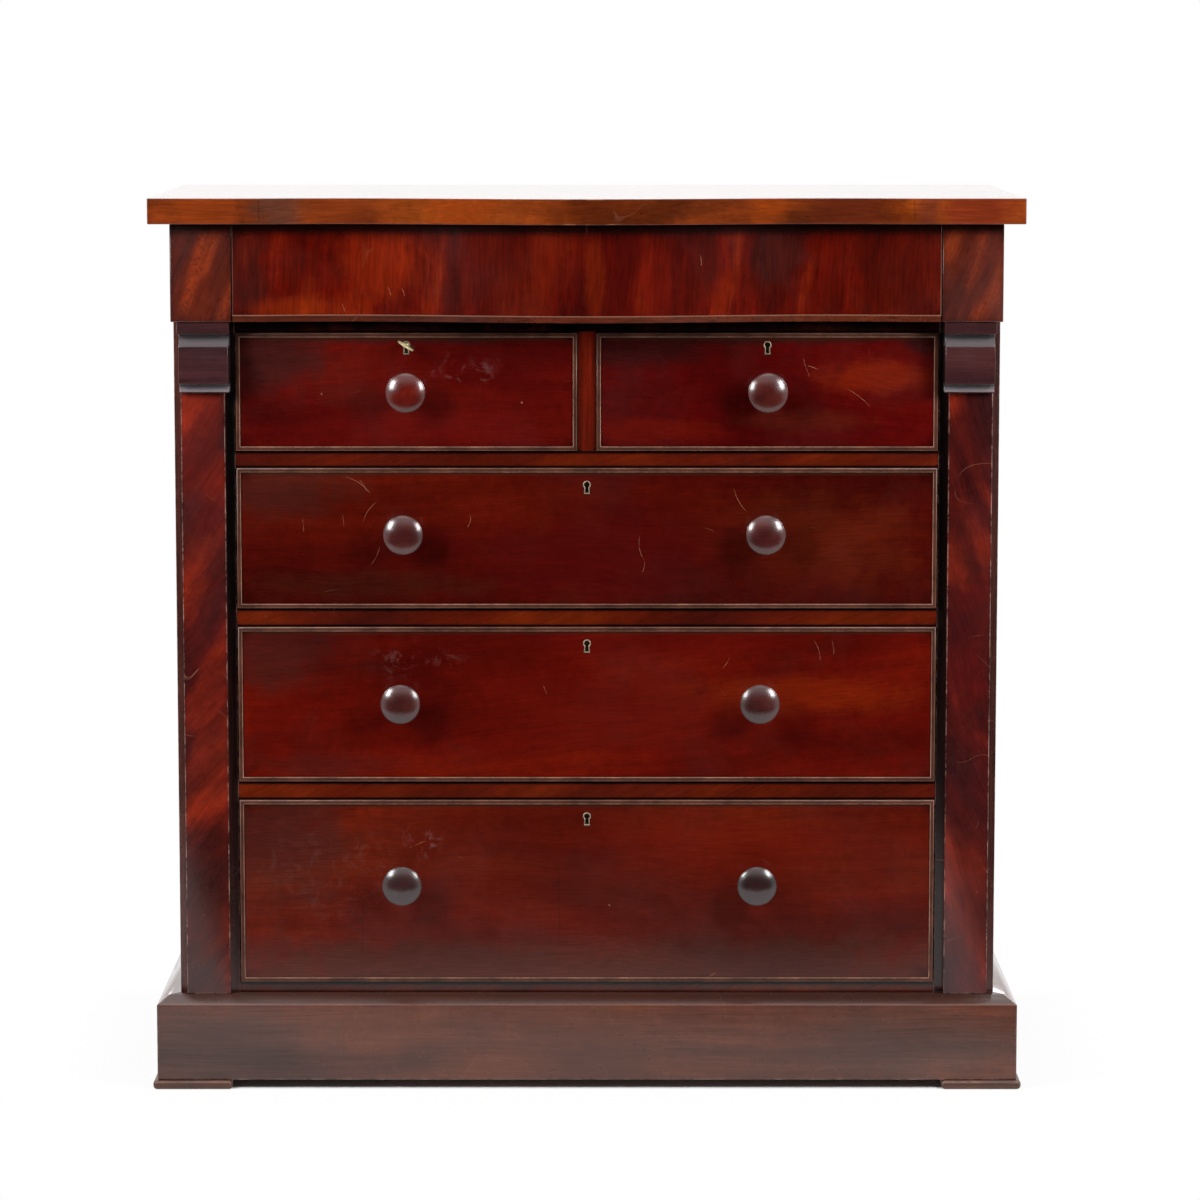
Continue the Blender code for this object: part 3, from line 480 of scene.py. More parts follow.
def addSkin(shape, loops, ring=False):
    rows = [[shape.verts.new(point) for point in loop] for loop in loops]
    count = len(rows[0])
    pairs = list(zip(rows, rows[1:])) + ([(rows[-1], rows[0])] if ring else [])
    for low, high in pairs:
        for i in range(count):
            j = (i + 1) % count
            shape.faces.new((low[i], low[j], high[j], high[i]))
    if not ring:
        shape.faces.new(rows[0])
        shape.faces.new(rows[-1])


def closeMesh(name, shape, smooth=None):
    mesh = bpy.data.meshes.new(name)
    shape.to_mesh(mesh)
    shape.free()
    if smooth is not None:
        mesh.shade_smooth()
        mesh.set_sharp_from_angle(angle=math.radians(smooth))
    return mesh


def meshFromLoops(name, loops, ring=False, smooth=None):
    shape = bmesh.new()
    addSkin(shape, loops, ring)
    bmesh.ops.recalc_face_normals(shape, faces=shape.faces)
    return closeMesh(name, shape, smooth)


def addBlock(shape, low, high):
    corners = [shape.verts.new((x, y, z)) for z in (low[2], high[2]) for x, y in
               ((low[0], low[1]), (high[0], low[1]), (high[0], high[1]), (low[0], high[1]))]
    for face in ((3, 2, 1, 0), (4, 5, 6, 7), (0, 1, 5, 4), (1, 2, 6, 5), (2, 3, 7, 6), (3, 0, 4, 7)):
        shape.faces.new([corners[i] for i in face])


def blocksMesh(name, blocks):
    shape = bmesh.new()
    for low, high in blocks:
        addBlock(shape, low, high)
    return closeMesh(name, shape)


def roundEdges(piece, width, segments=3, angle=40, harden=True):
    if harden:
        piece.data.shade_smooth()
    edge = piece.modifiers.new("roundedEdges", "BEVEL")
    edge.width = width
    edge.segments = segments
    edge.limit_method = "ANGLE"
    edge.angle_limit = math.radians(angle)
    edge.harden_normals = harden
    return piece


flattening = {"weld": 0.00001, "angle": math.radians(1)}  # what counts as one point and as one flat face


def softened(node, material, width):
    shape = bmesh.new()  # a copy of the solid with its flat faces whole again
    shape.from_mesh(cadNodes[node].data)
    bmesh.ops.remove_doubles(shape, verts=shape.verts, dist=flattening["weld"])
    bmesh.ops.dissolve_limit(shape, angle_limit=flattening["angle"], verts=shape.verts, edges=shape.edges)
    name = node + "_wood"
    piece = newPiece(name, closeMesh(name, shape), material, cadNodes[node]["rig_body"], (node,))
    return roundEdges(piece, width)


def casePiece(node, finish, slot, width, **look):
    low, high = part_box(node)
    softened(node, woodMaterial(node + finish, low=tuple(low), high=tuple(high), **look), width)


def paintNode(node, front, rest=None):
    mesh = cadNodes[node].data  # faces that look forward take the first finish
    mesh.materials.clear()
    mesh.materials.append(front)
    if rest is not None:
        mesh.materials.append(rest)
    for face in mesh.polygons:
        face.material_index = 0 if rest is None or face.normal.y < -0.5 else 1


def inset(node, amount):
    low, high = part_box(node)
    return tuple(low + Vector((amount, 0, amount))), tuple(high - Vector((amount, 0, amount)))


# The serpentine front that the top and the frieze drawer share
serpentine = {"bow": 0.030, "flatEnd": 0.040, "meanShare": 1 / 3, "swingShare": 2 / 3, "turn": math.radians(240),
              "steps": 160}
bowHalf = openingHalf - serpentine["flatEnd"]


def bowAt(x):
    swing = serpentine["swingShare"] * math.cos(serpentine["turn"] * min(abs(x) / bowHalf, 1.0))
    return serpentine["bow"] * (serpentine["meanShare"] + swing)


def bowedBoard(node, name):  # the node's board with the curved front, and where it lies
    low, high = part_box(node)
    endY = low.y + serpentine["bow"]  # the front plane at both ends
    steps = serpentine["steps"]
    curve = [(x, endY - bowAt(x)) for x in (bowHalf * (1 - 2 * i / steps) for i in range(steps + 1))]
    outline = [(-high.x, high.y), (high.x, high.y), (high.x, endY), *curve, (-high.x, endY)]
    return low, high, endY, meshFromLoops(name, [[(x, y, z) for x, y in outline] for z in (low.z, high.z)])


topBoard = {
    "edgeRound": 0.0016, "figureDepth": 0.16,  # how far back the front edge's figure reaches
    "seams": ((-0.4395, -0.4405), (0.4405, 0.4395)),  # x at the lower and at the upper side
    "seamWidth": 0.0006,
    "wood": {
        "dark": (0.075, 0.014, 0.004), "mid": (0.175, 0.028, 0.004), "light": (0.290, 0.055, 0.006), "seed": 2.3,
        "figureSize": 13, "figureStretch": 2.2, "fineness": 420, "stretch": 22, "streakDepth": 0.24,
        "bandDepth": 0.26, "dirtAndShadeWidth": 0.004, "dirtAndShadeAmount": 0.25, "wearWidth": 0.0020, "wearAmount": 0.6,
        "wearColour": (0.46, 0.22, 0.09), "pitAmount": 0.9, "scratchAmount": 0.1, "roughness": 0.17, "bump": 0.05,
        "coat": 0.7, "mottle": 0.16},
    "tints": (  # centre x, half width, colour, amount
        (-0.520, 0.070, (0.300, 0.046, 0.006), 0.8), (-0.410, 0.052, (0.085, 0.030, 0.018), 0.80),
        (-0.330, 0.080, (0.125, 0.020, 0.004), 0.8), (-0.165, 0.060, (0.190, 0.027, 0.002), 0.75),
        (0.050, 0.120, (0.080, 0.012, 0.002), 0.8), (0.243, 0.032, (0.270, 0.042, 0.003), 0.7),
        (0.350, 0.060, (0.120, 0.016, 0.005), 0.6), (0.460, 0.024, (0.085, 0.014, 0.008), 0.7),
        (0.530, 0.075, (0.135, 0.017, 0.005), 0.9)),
}


def makeTop():
    low, high, endY, mesh = bowedBoard("top_board", "top_board_wood")
    edgeZ, lip = (low.z + high.z) / 2, high.z - low.z
    material = woodMaterial(
        "topMahogany", **topBoard["wood"], low=tuple(low), high=tuple(high),
        patchDepth=(endY, topBoard["figureDepth"]),
        patches=[(x, edgeZ, halfWide, lip, tint, amount) for x, halfWide, tint, amount in topBoard["tints"]],
        cracks=[(lowX, low.z, highX, high.z, 0.0, topBoard["seamWidth"]) for lowX, highX in topBoard["seams"]])
    top = newPiece("top_board_wood", mesh, material, "carcass", ("top_board",))
    roundEdges(top, topBoard["edgeRound"])


friezeFront = {
    "edgeRound": 0.0008, "stripHeight": 0.0094, "stripProud": 0.0016, "lineWidth": 0.0008, "lineProud": 0.0004,
    # painted shadow: the dark band below the frieze's and blocks' upper edge, under the top
    "sunk": 0.004, "dirtAndShade": (0.007, 0.0018, 0.0013), "paintedShadowDeep": 0.0115, "paintedShadowFade": 0.0045, "paintedShadowAmount": 0.85,
    "wood": {
        "dark": (0.040, 0.0014, 0.00028), "mid": (0.104, 0.0030, 0.00028), "light": (0.225, 0.017, 0.001),
        "grain": 88, "seed": 6.1, "figureSize": 15, "figureStretch": 3.0, "fineness": 300, "stretch": 14,
        "waviness": 0.03, "streakDepth": 0.34, "bandDepth": 0.34, "dirtAndShadeWidth": 0.045, "dirtAndShadeAmount": 0.60,
        "hazeAmount": 0.20, "hazeColour": (0.060, 0.016, 0.012), "pitAmount": 0.8, "scratchAmount": 0.15,
        "roughness": 0.19, "mottle": 0.16,
        "patches": (
            (0.42, 1.13, 0.12, 0.10, (0.050, 0.003, 0.001), 0.6),
            (-0.275, 1.14, 0.075, 0.06, (0.200, 0.013, 0.001), 0.55),
            (0.03, 1.13, 0.13, 0.10, (0.062, 0.002, 0.001), 0.75),
            (-0.125, 1.13, 0.045, 0.08, (0.068, 0.003, 0.001), 0.6),
            (-0.055, 1.14, 0.022, 0.07, (0.130, 0.008, 0.001), 0.5),
            (0.010, 1.12, 0.016, 0.08, (0.150, 0.011, 0.001), 0.6),
            (0.092, 1.12, 0.026, 0.07, (0.125, 0.005, 0.001), 0.6),
            (0.160, 1.14, 0.03, 0.07, (0.050, 0.003, 0.001), 0.5),
            (0.255, 1.15, 0.055, 0.05, (0.050, 0.008, 0.006), 0.7),
            (0.330, 1.13, 0.02, 0.07, (0.110, 0.004, 0.001), 0.5),
            (-0.400, 1.080, 0.080, 0.018, (0.190, 0.016, 0.001), 0.55),
            (-0.462, 1.140, 0.040, 0.075, (0.044, 0.006, 0.004), 0.65)),
        "scratches": (
            (-0.2697, 1.1097, -0.2649, 1.0967, 0.001, 0.00035),
            (-0.2507, 1.1080, -0.2467, 1.0967, 0.001, 0.00035),
            (-0.3309, 1.0866, -0.3269, 1.0745, 0.0, 0.00035),
            (0.1525, 1.1531, 0.1539, 1.1383, 0.001, 0.00035))},
    "stripWood": {
        "dark": (0.055, 0.009, 0.004), "mid": (0.085, 0.014, 0.005), "light": (0.120, 0.022, 0.007), "seed": 3.7,
        "dirtAndShadeWidth": 0.002, "wearWidth": 0.0024, "wearAmount": 0.6, "wearColour": (0.20, 0.085, 0.055),
        "scratchAmount": 0.5, "roughness": 0.26},
    # the strip's upper edge, worn and with a painted highlight: from and to that edge, lower and upper colour,
    # amount
    "wearAndHighlightEdge": (-0.0014, 0.0010, (0.200, 0.090, 0.060), (0.260, 0.125, 0.085), 0.8),
    "lineWood": {"dark": (0.070, 0.018, 0.012), "mid": (0.130, 0.045, 0.030), "light": (0.210, 0.090, 0.060),
                 "grain": 90, "seed": 4.4, "roughness": 0.35},
}


def underTop(high):  # painted shadow under the top's overhang
    band = plainBand(high.z - friezeFront["paintedShadowDeep"], high.z + pastEdge, friezeFront["dirtAndShade"],
                     friezeFront["paintedShadowAmount"])
    return {"bandFade": friezeFront["paintedShadowFade"], "bands": (band,)}


def makeFrieze():
    low, high, endY, mesh = bowedBoard("frieze_drawer_front", "frieze_drawer_veneer")
    material = woodMaterial("friezeVeneer", **friezeFront["wood"], **underTop(high), low=(low.x, endY - 1.0, low.z),
                            high=(high.x, endY + 1.0, high.z))
    front = newPiece("frieze_drawer_veneer", mesh, material, "frieze_drawer", ("frieze_drawer_front",))
    roundEdges(front, friezeFront["edgeRound"])

    steps = serpentine["steps"]
    tall, proud, sunk = friezeFront["stripHeight"], friezeFront["stripProud"], friezeFront["sunk"]
    corner = proud * 0.5
    section = [(sunk, 0.0), (-proud + corner, 0.0), (-proud, corner * 0.6), (-proud, tall - corner * 0.6),
               (-proud + corner, tall), (sunk, tall)]
    loops = [[(x, endY - bowAt(x) + out, low.z + up) for out, up in section]
             for x in (high.x - 2 * high.x * i / steps for i in range(steps + 1))]
    stripTop = low.z + tall
    below, above, *tints = friezeFront["wearAndHighlightEdge"]
    stripWood = woodMaterial("friezeStrip", **friezeFront["stripWood"], low=(-1, low.y - 1, low.z),
                             high=(1, high.y + 1, stripTop), bands=((stripTop + below, stripTop + above, *tints),))
    newPiece("frieze_drawer_strip", meshFromLoops("frieze_drawer_strip", loops, smooth=30), stripWood,
             "frieze_drawer")
    half = friezeFront["lineWidth"] / 2
    lines = [((x - half, endY - friezeFront["lineProud"], stripTop), (x + half, endY + sunk, high.z))
             for x in (half - high.x, high.x - half)]
    newPiece("frieze_drawer_lines", blocksMesh("frieze_drawer_lines", lines),
             woodMaterial("friezeLine", **friezeFront["lineWood"]), "frieze_drawer")


# The sides with their stiles, the pilasters on them and the blocks beside the frieze drawer
stile = {
    "edgeRound": 0.0010, "shadedStrip": 0.013, "seeds": {"side_left": 11.0, "side_right": 15.0},
    "tints": ((0.80, 0.55, (0.007, 0.0025, 0.0022), 1.0),  # painted shade in the recess beside the drawers: centre z, half height, colour, amount
              (0.35, 0.40, (0.020, 0.006, 0.005), 0.8)),
    "wood": {
        "dark": (0.060, 0.015, 0.011), "mid": (0.095, 0.026, 0.019), "light": (0.140, 0.036, 0.024), "grain": 90,
        "figureSize": 5, "figureStretch": 5, "dirtAndShadeWidth": 0.004, "dirtAndShadeAmount": 0.3, "wearAmount": 0.6,
        "wearColour": (0.34, 0.20, 0.16), "hazeAmount": 0.2, "scratchAmount": 0.3, "roughness": 0.24,
        "ragged": 0.3},
}
pilaster = {
    "edgeRound": 0.0009, "tintHalfWidth": 0.05,
    "runs": {"pilaster_left": {"grain": 52, "seed": 21.0}, "pilaster_right": {"grain": 108, "seed": 24.0}},
    "tints": {  # centre z, half height, colour, amount
        "pilaster_left": ((0.885, 0.09, (0.150, 0.010, 0.005), 0.50),
                          (0.240, 0.15, (0.034, 0.005, 0.003), 0.75),
                          (0.560, 0.10, (0.060, 0.005, 0.004), 0.35),
                          (0.150, 0.05, (0.040, 0.014, 0.012), 0.80)),
        "pilaster_right": ((0.885, 0.10, (0.030, 0.003, 0.003), 0.72),
                           (0.620, 0.09, (0.125, 0.004, 0.003), 0.50),
                           (0.255, 0.12, (0.060, 0.007, 0.005), 0.58))},
    "wood": {
        "dark": (0.022, 0.006, 0.007), "mid": (0.068, 0.006, 0.005), "light": (0.270, 0.020, 0.005),
        "figureSize": 13, "figureStretch": 2.6, "waviness": 0.12, "streakDepth": 0.22, "bandDepth": 0.30,
        "mottle": 0.20, "dirtAndShadeWidth": 0.006, "dirtAndShadeAmount": 0.3, "wearWidth": 0.0016, "wearAmount": 0.75,
        "wearColour": (0.34, 0.20, 0.16), "hazeAmount": 0.25, "hazeColour": (0.060, 0.012, 0.010),
        "scratchAmount": 0.3, "roughness": 0.21},
}
friezeBlock = {
    "edgeRound": 0.0009, "seeds": {"frieze_block_left": 31.0, "frieze_block_right": 37.0},
    "bright": (0.300, 0.040, 0.009),
    "stripes": {  # the light figure that leans across each block: a scratch's numbers and an amount
        "frieze_block_left": ((-0.5130, 1.1900, -0.5480, 1.0680, 0.001, 0.0115, 0.65),
                              (-0.4980, 1.1920, -0.5200, 1.1200, 0.001, 0.0085, 0.45),
                              (-0.4760, 1.1150, -0.4990, 1.0600, 0.001, 0.0105, 0.60)),
        "frieze_block_right": ((0.5400, 1.1900, 0.5100, 1.1000, 0.002, 0.0120, 0.35),
                               (0.5560, 1.1200, 0.5200, 1.0600, 0.002, 0.0120, 0.35))},
    "wood": {
        "dark": (0.046, 0.010, 0.008), "mid": (0.096, 0.013, 0.006), "light": (0.260, 0.038, 0.007), "grain": 67,
        "figureSize": 19, "figureStretch": 5.0, "waviness": 0.04, "streakDepth": 0.20, "bandDepth": 0.25,
        "mottle": 0.16, "dirtAndShadeWidth": 0.012, "dirtAndShadeAmount": 0.35, "wearAmount": 0.4, "hazeAmount": 0.2,
        "roughness": 0.20},
}


def makeCase():
    for node, side in (("side_left", -1), ("side_right", 1)):
        x = side * (openingHalf + stile["shadedStrip"] / 2)
        patches = [(x, z, stile["shadedStrip"], halfTall, tint, amount)
                   for z, halfTall, tint, amount in stile["tints"]]
        casePiece(node, "Mahogany", "case_mahogany", stile["edgeRound"], seed=stile["seeds"][node], patches=patches,
                  **stile["wood"])
    for node, run in pilaster["runs"].items():
        low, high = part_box(node)
        patches = [((low.x + high.x) / 2, z, pilaster["tintHalfWidth"], halfTall, tint, amount)
                   for z, halfTall, tint, amount in pilaster["tints"][node]]
        casePiece(node, "Flame", "figured_veneer", pilaster["edgeRound"], patches=patches, **run,
                  **pilaster["wood"])
    for node, seed in friezeBlock["seeds"].items():
        stripes = [(*run, friezeBlock["bright"], amount) for *run, amount in friezeBlock["stripes"][node]]
        casePiece(node, "Veneer", "figured_veneer", friezeBlock["edgeRound"], seed=seed, stripes=stripes,
                  **underTop(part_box(node)[1]), **friezeBlock["wood"])


plinth = {
    "edgeRound": 0.0012, "seed": 41.0, "slope": 0.0105, "slopeFade": 0.0008, "slopeColour": (0.040, 0.016, 0.012),
    "slopeAmount": 0.8,
    "patches": ((-0.500, 0.060, 0.160, 0.090, (0.064, 0.034, 0.028), 0.5),
                (0.450, 0.070, 0.160, 0.080, (0.078, 0.044, 0.037), 0.4)),
    "front": {"roughness": 0.24}, "returns": {"alongDepth": True, "coat": 1.0, "roughness": 0.16},
    "wood": {
        "dark": (0.068, 0.025, 0.018), "mid": (0.112, 0.036, 0.022), "light": (0.168, 0.047, 0.022),
        "figureSize": 9, "figureStretch": 3, "streakDepth": 0.25, "bandDepth": 0.15, "dirtAndShadeWidth": 0.010,
        "dirtAndShadeAmount": 0.2, "wearWidth": 0.0016, "wearAmount": 0.7, "wearColour": (0.34, 0.24, 0.19),
        "hazeAmount": 0.45, "hazeColour": (0.060, 0.024, 0.018), "scratchAmount": 0.15},
}
foot = {
    "edgeRound": 0.0055, "roundSteps": 6, "seed": 51.0,
    "wood": {"dark": (0.040, 0.015, 0.010), "mid": (0.100, 0.034, 0.018), "light": (0.150, 0.048, 0.020),
             "dirtAndShadeWidth": 0.003, "wearWidth": 0.004, "wearAmount": 0.5, "wearColour": (0.22, 0.13, 0.09),
             "roughness": 0.42},
}


def makePlinth():
    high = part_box("plinth_front")[1]
    slope = plainBand(high.z - plinth["slope"], high.z + pastEdge, plinth["slopeColour"], plinth["slopeAmount"])
    front = {"patches": plinth["patches"], "bands": (slope,), "bandFade": plinth["slopeFade"], **plinth["front"]}
    for number, (node, own) in enumerate((("plinth_front", front), ("plinth_left", plinth["returns"]),
                                          ("plinth_right", plinth["returns"]))):
        casePiece(node, "Mahogany", "plinth_mahogany", plinth["edgeRound"], seed=plinth["seed"] + number, **own,
                  **plinth["wood"])
    for number, node in enumerate(("foot_front_left", "foot_front_right", "foot_rear_left", "foot_rear_right")):
        low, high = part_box(node)
        wood = woodMaterial(node + "Mahogany", seed=foot["seed"] + number, low=tuple(low), high=tuple(high),
                            **foot["wood"])
        pad = newPiece(node + "_wood", blocksMesh(node + "_wood", [(low, high)]), wood, "carcass", (node,))
        roundEdges(pad, foot["edgeRound"], foot["roundSteps"])


def bend(start, middle, end, steps):
    points = []
    for i in range(1, steps + 1):
        t = i / steps
        weights = ((1 - t) ** 2, 2 * t * (1 - t), t ** 2)
        points.append(tuple(sum(w * p[k] for w, p in zip(weights, (start, middle, end))) for k in (0, 1)))
    return points


corbel = {
    "fasciaShare": 0.165, "fasciaWider": 0.0015, "fasciaRound": 0.0009, "curveSteps": 16, "edgeRound": 0.0006,
    # the profile: share of the depth outwards and share of the height downwards
    "head": ((0.0, 0.0), (0.97, 0.0), (0.97, 0.165), (0.90, 0.180)),
    "curves": (((0.66, 0.185), (0.64, 0.240)), ((0.68, 0.325), (0.88, 0.345)),  # control point and end
               ((1.00, 0.60), (0.84, 0.870)), ((0.60, 0.880), (0.52, 0.910)), ((0.52, 0.955), (0.60, 0.985))),
    "tail": ((0.60, 1.0), (0.0, 1.0)),
    "reflectionBands": (((0.345, 0.180), 0.88), ((0.985, 0.872), 1.35)),  # painted reflections of the bright surround: lower and upper share, brightness
    "reflectionBright": (0.150, 0.130, 0.138), "reflectionDim": (0.055, 0.045, 0.048),
    "wood": {"dark": (0.024, 0.009, 0.011), "mid": (0.044, 0.014, 0.015), "light": (0.066, 0.019, 0.019),
             "seed": 61.0, "figureSize": 14, "streakDepth": 0.25, "hazeAmount": 0.3,
             "hazeColour": (0.045, 0.020, 0.022), "roughness": 0.17},
}


def makeCorbels():
    low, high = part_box("corbel_left")
    bands = []
    for shares, gain in corbel["reflectionBands"]:  # painted reflection: grey bands on the curved hollows
        lowZ, highZ = (high.z - (high.z - low.z) * share for share in shares)
        bright = tuple(share * gain for share in corbel["reflectionBright"])
        bands.append((lowZ, highZ, bright, corbel["reflectionDim"], 1.0))
    material = woodMaterial("corbelMahogany", bands=bands, **corbel["wood"])
    for node in ("corbel_left", "corbel_right"):
        low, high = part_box(node)
        deep = high.y - low.y
        tall = high.z - low.z

        def at(shares):
            return high.y - deep * shares[0], high.z - tall * shares[1]

        outline = [at(shares) for shares in corbel["head"]]
        for middle, end in corbel["curves"]:
            outline += bend(outline[-1], at(middle), at(end), corbel["curveSteps"])
        outline += [at(shares) for shares in corbel["tail"]]
        loops = [[(x, y, z) for y, z in outline] for x in (low.x, high.x)]
        belly = newPiece(node + "_wood", meshFromLoops(node + "_wood", loops, smooth=35), material, "carcass",
                         (node,))
        roundEdges(belly, corbel["edgeRound"], 2, 60, harden=False)
        wider = corbel["fasciaWider"]
        fascia = blocksMesh(node + "_fascia", [((low.x - wider, low.y, high.z - tall * corbel["fasciaShare"]),
                                                (high.x + wider, high.y, high.z))])
        roundEdges(newPiece(node + "_fascia", fascia, material, "carcass"),
                   corbel["fasciaRound"])


# Rails and the muntin between the short drawers
rail = {
    "faceTall": {"frieze_rail": 0.0155, "short_drawer_rail": 0.0215, "upper_drawer_rail": 0.0240,
                 "middle_drawer_rail": 0.0240, "bottom_rail": 0.0155},  # the facing without its drawer stops
    # the frieze rail's near black is painted shadow under the frieze drawer
    "tints": {"frieze_rail": ((0.006, 0.0015, 0.001), 1.0), "bottom_rail": ((0.036, 0.013, 0.010), 0.75)},
    # painted shadow: a dark band at the top of each rail under the drawer above, and one at its foot in the gap
    # above the next drawer
    "tintHalf": (1.2, 0.05), "dirtAndShade": (0.004, 0.0008, 0.0006), "paintedShadowDeep": 0.0045, "paintedShadeFoot": 0.0010,
    "paintedShadowAmount": 0.92, "footAmount": 0.9, "grain": 14, "grainStep": 4, "seed": 72.0,
    "wood": {"dark": (0.046, 0.004, 0.002), "mid": (0.098, 0.007, 0.001), "light": (0.165, 0.018, 0.001),
             "figureSize": 9, "figureStretch": 3, "streakDepth": 0.2, "bandDepth": 0.2, "mottle": 0.15,
             "bandFade": 0.0015, "dirtAndShadeWidth": 0.006, "dirtAndShadeAmount": 0.6, "roughness": 0.21},
    "muntin": {"dark": (0.062, 0.005, 0.002), "mid": (0.165, 0.009, 0.001), "light": (0.250, 0.020, 0.001),
               "grain": 90, "seed": 79.0, "dirtAndShadeWidth": 0.006, "dirtAndShadeAmount": 0.70, "roughness": 0.21},
}


def makeRails():
    pine = woodMaterial("railPine", **pineLook, alongDepth=True, seed=70.0)
    for number, (node, faceTall) in enumerate(rail["faceTall"].items()):
        low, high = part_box(node)
        tint = rail["tints"].get(node)
        # painted shadow below each drawer and in the gap above the next
        dirtAndShade = (plainBand(low.z + faceTall - rail["paintedShadowDeep"], high.z + pastEdge, rail["dirtAndShade"], rail["paintedShadowAmount"]),
                plainBand(low.z - pastEdge, low.z + rail["paintedShadeFoot"], rail["dirtAndShade"], rail["footAmount"]))
        facing = woodMaterial(
            node + "Facing", **rail["wood"], grain=rail["grain"] + rail["grainStep"] * number,
            seed=rail["seed"] + number, bands=dirtAndShade,
            patches=((0.0, high.z, *rail["tintHalf"], *tint),) if tint else (),
            low=(-openingHalf, caseFront - 1, low.z), high=(openingHalf, caseFront + 1, high.z))
        paintNode(node, facing, pine)
    low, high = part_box("centre_muntin")
    facing = woodMaterial("muntinFacing", **rail["muntin"], low=(low.x, caseFront - 1, low.z),
                          high=(high.x, caseFront + 1, high.z))
    paintNode("centre_muntin", facing, pine)


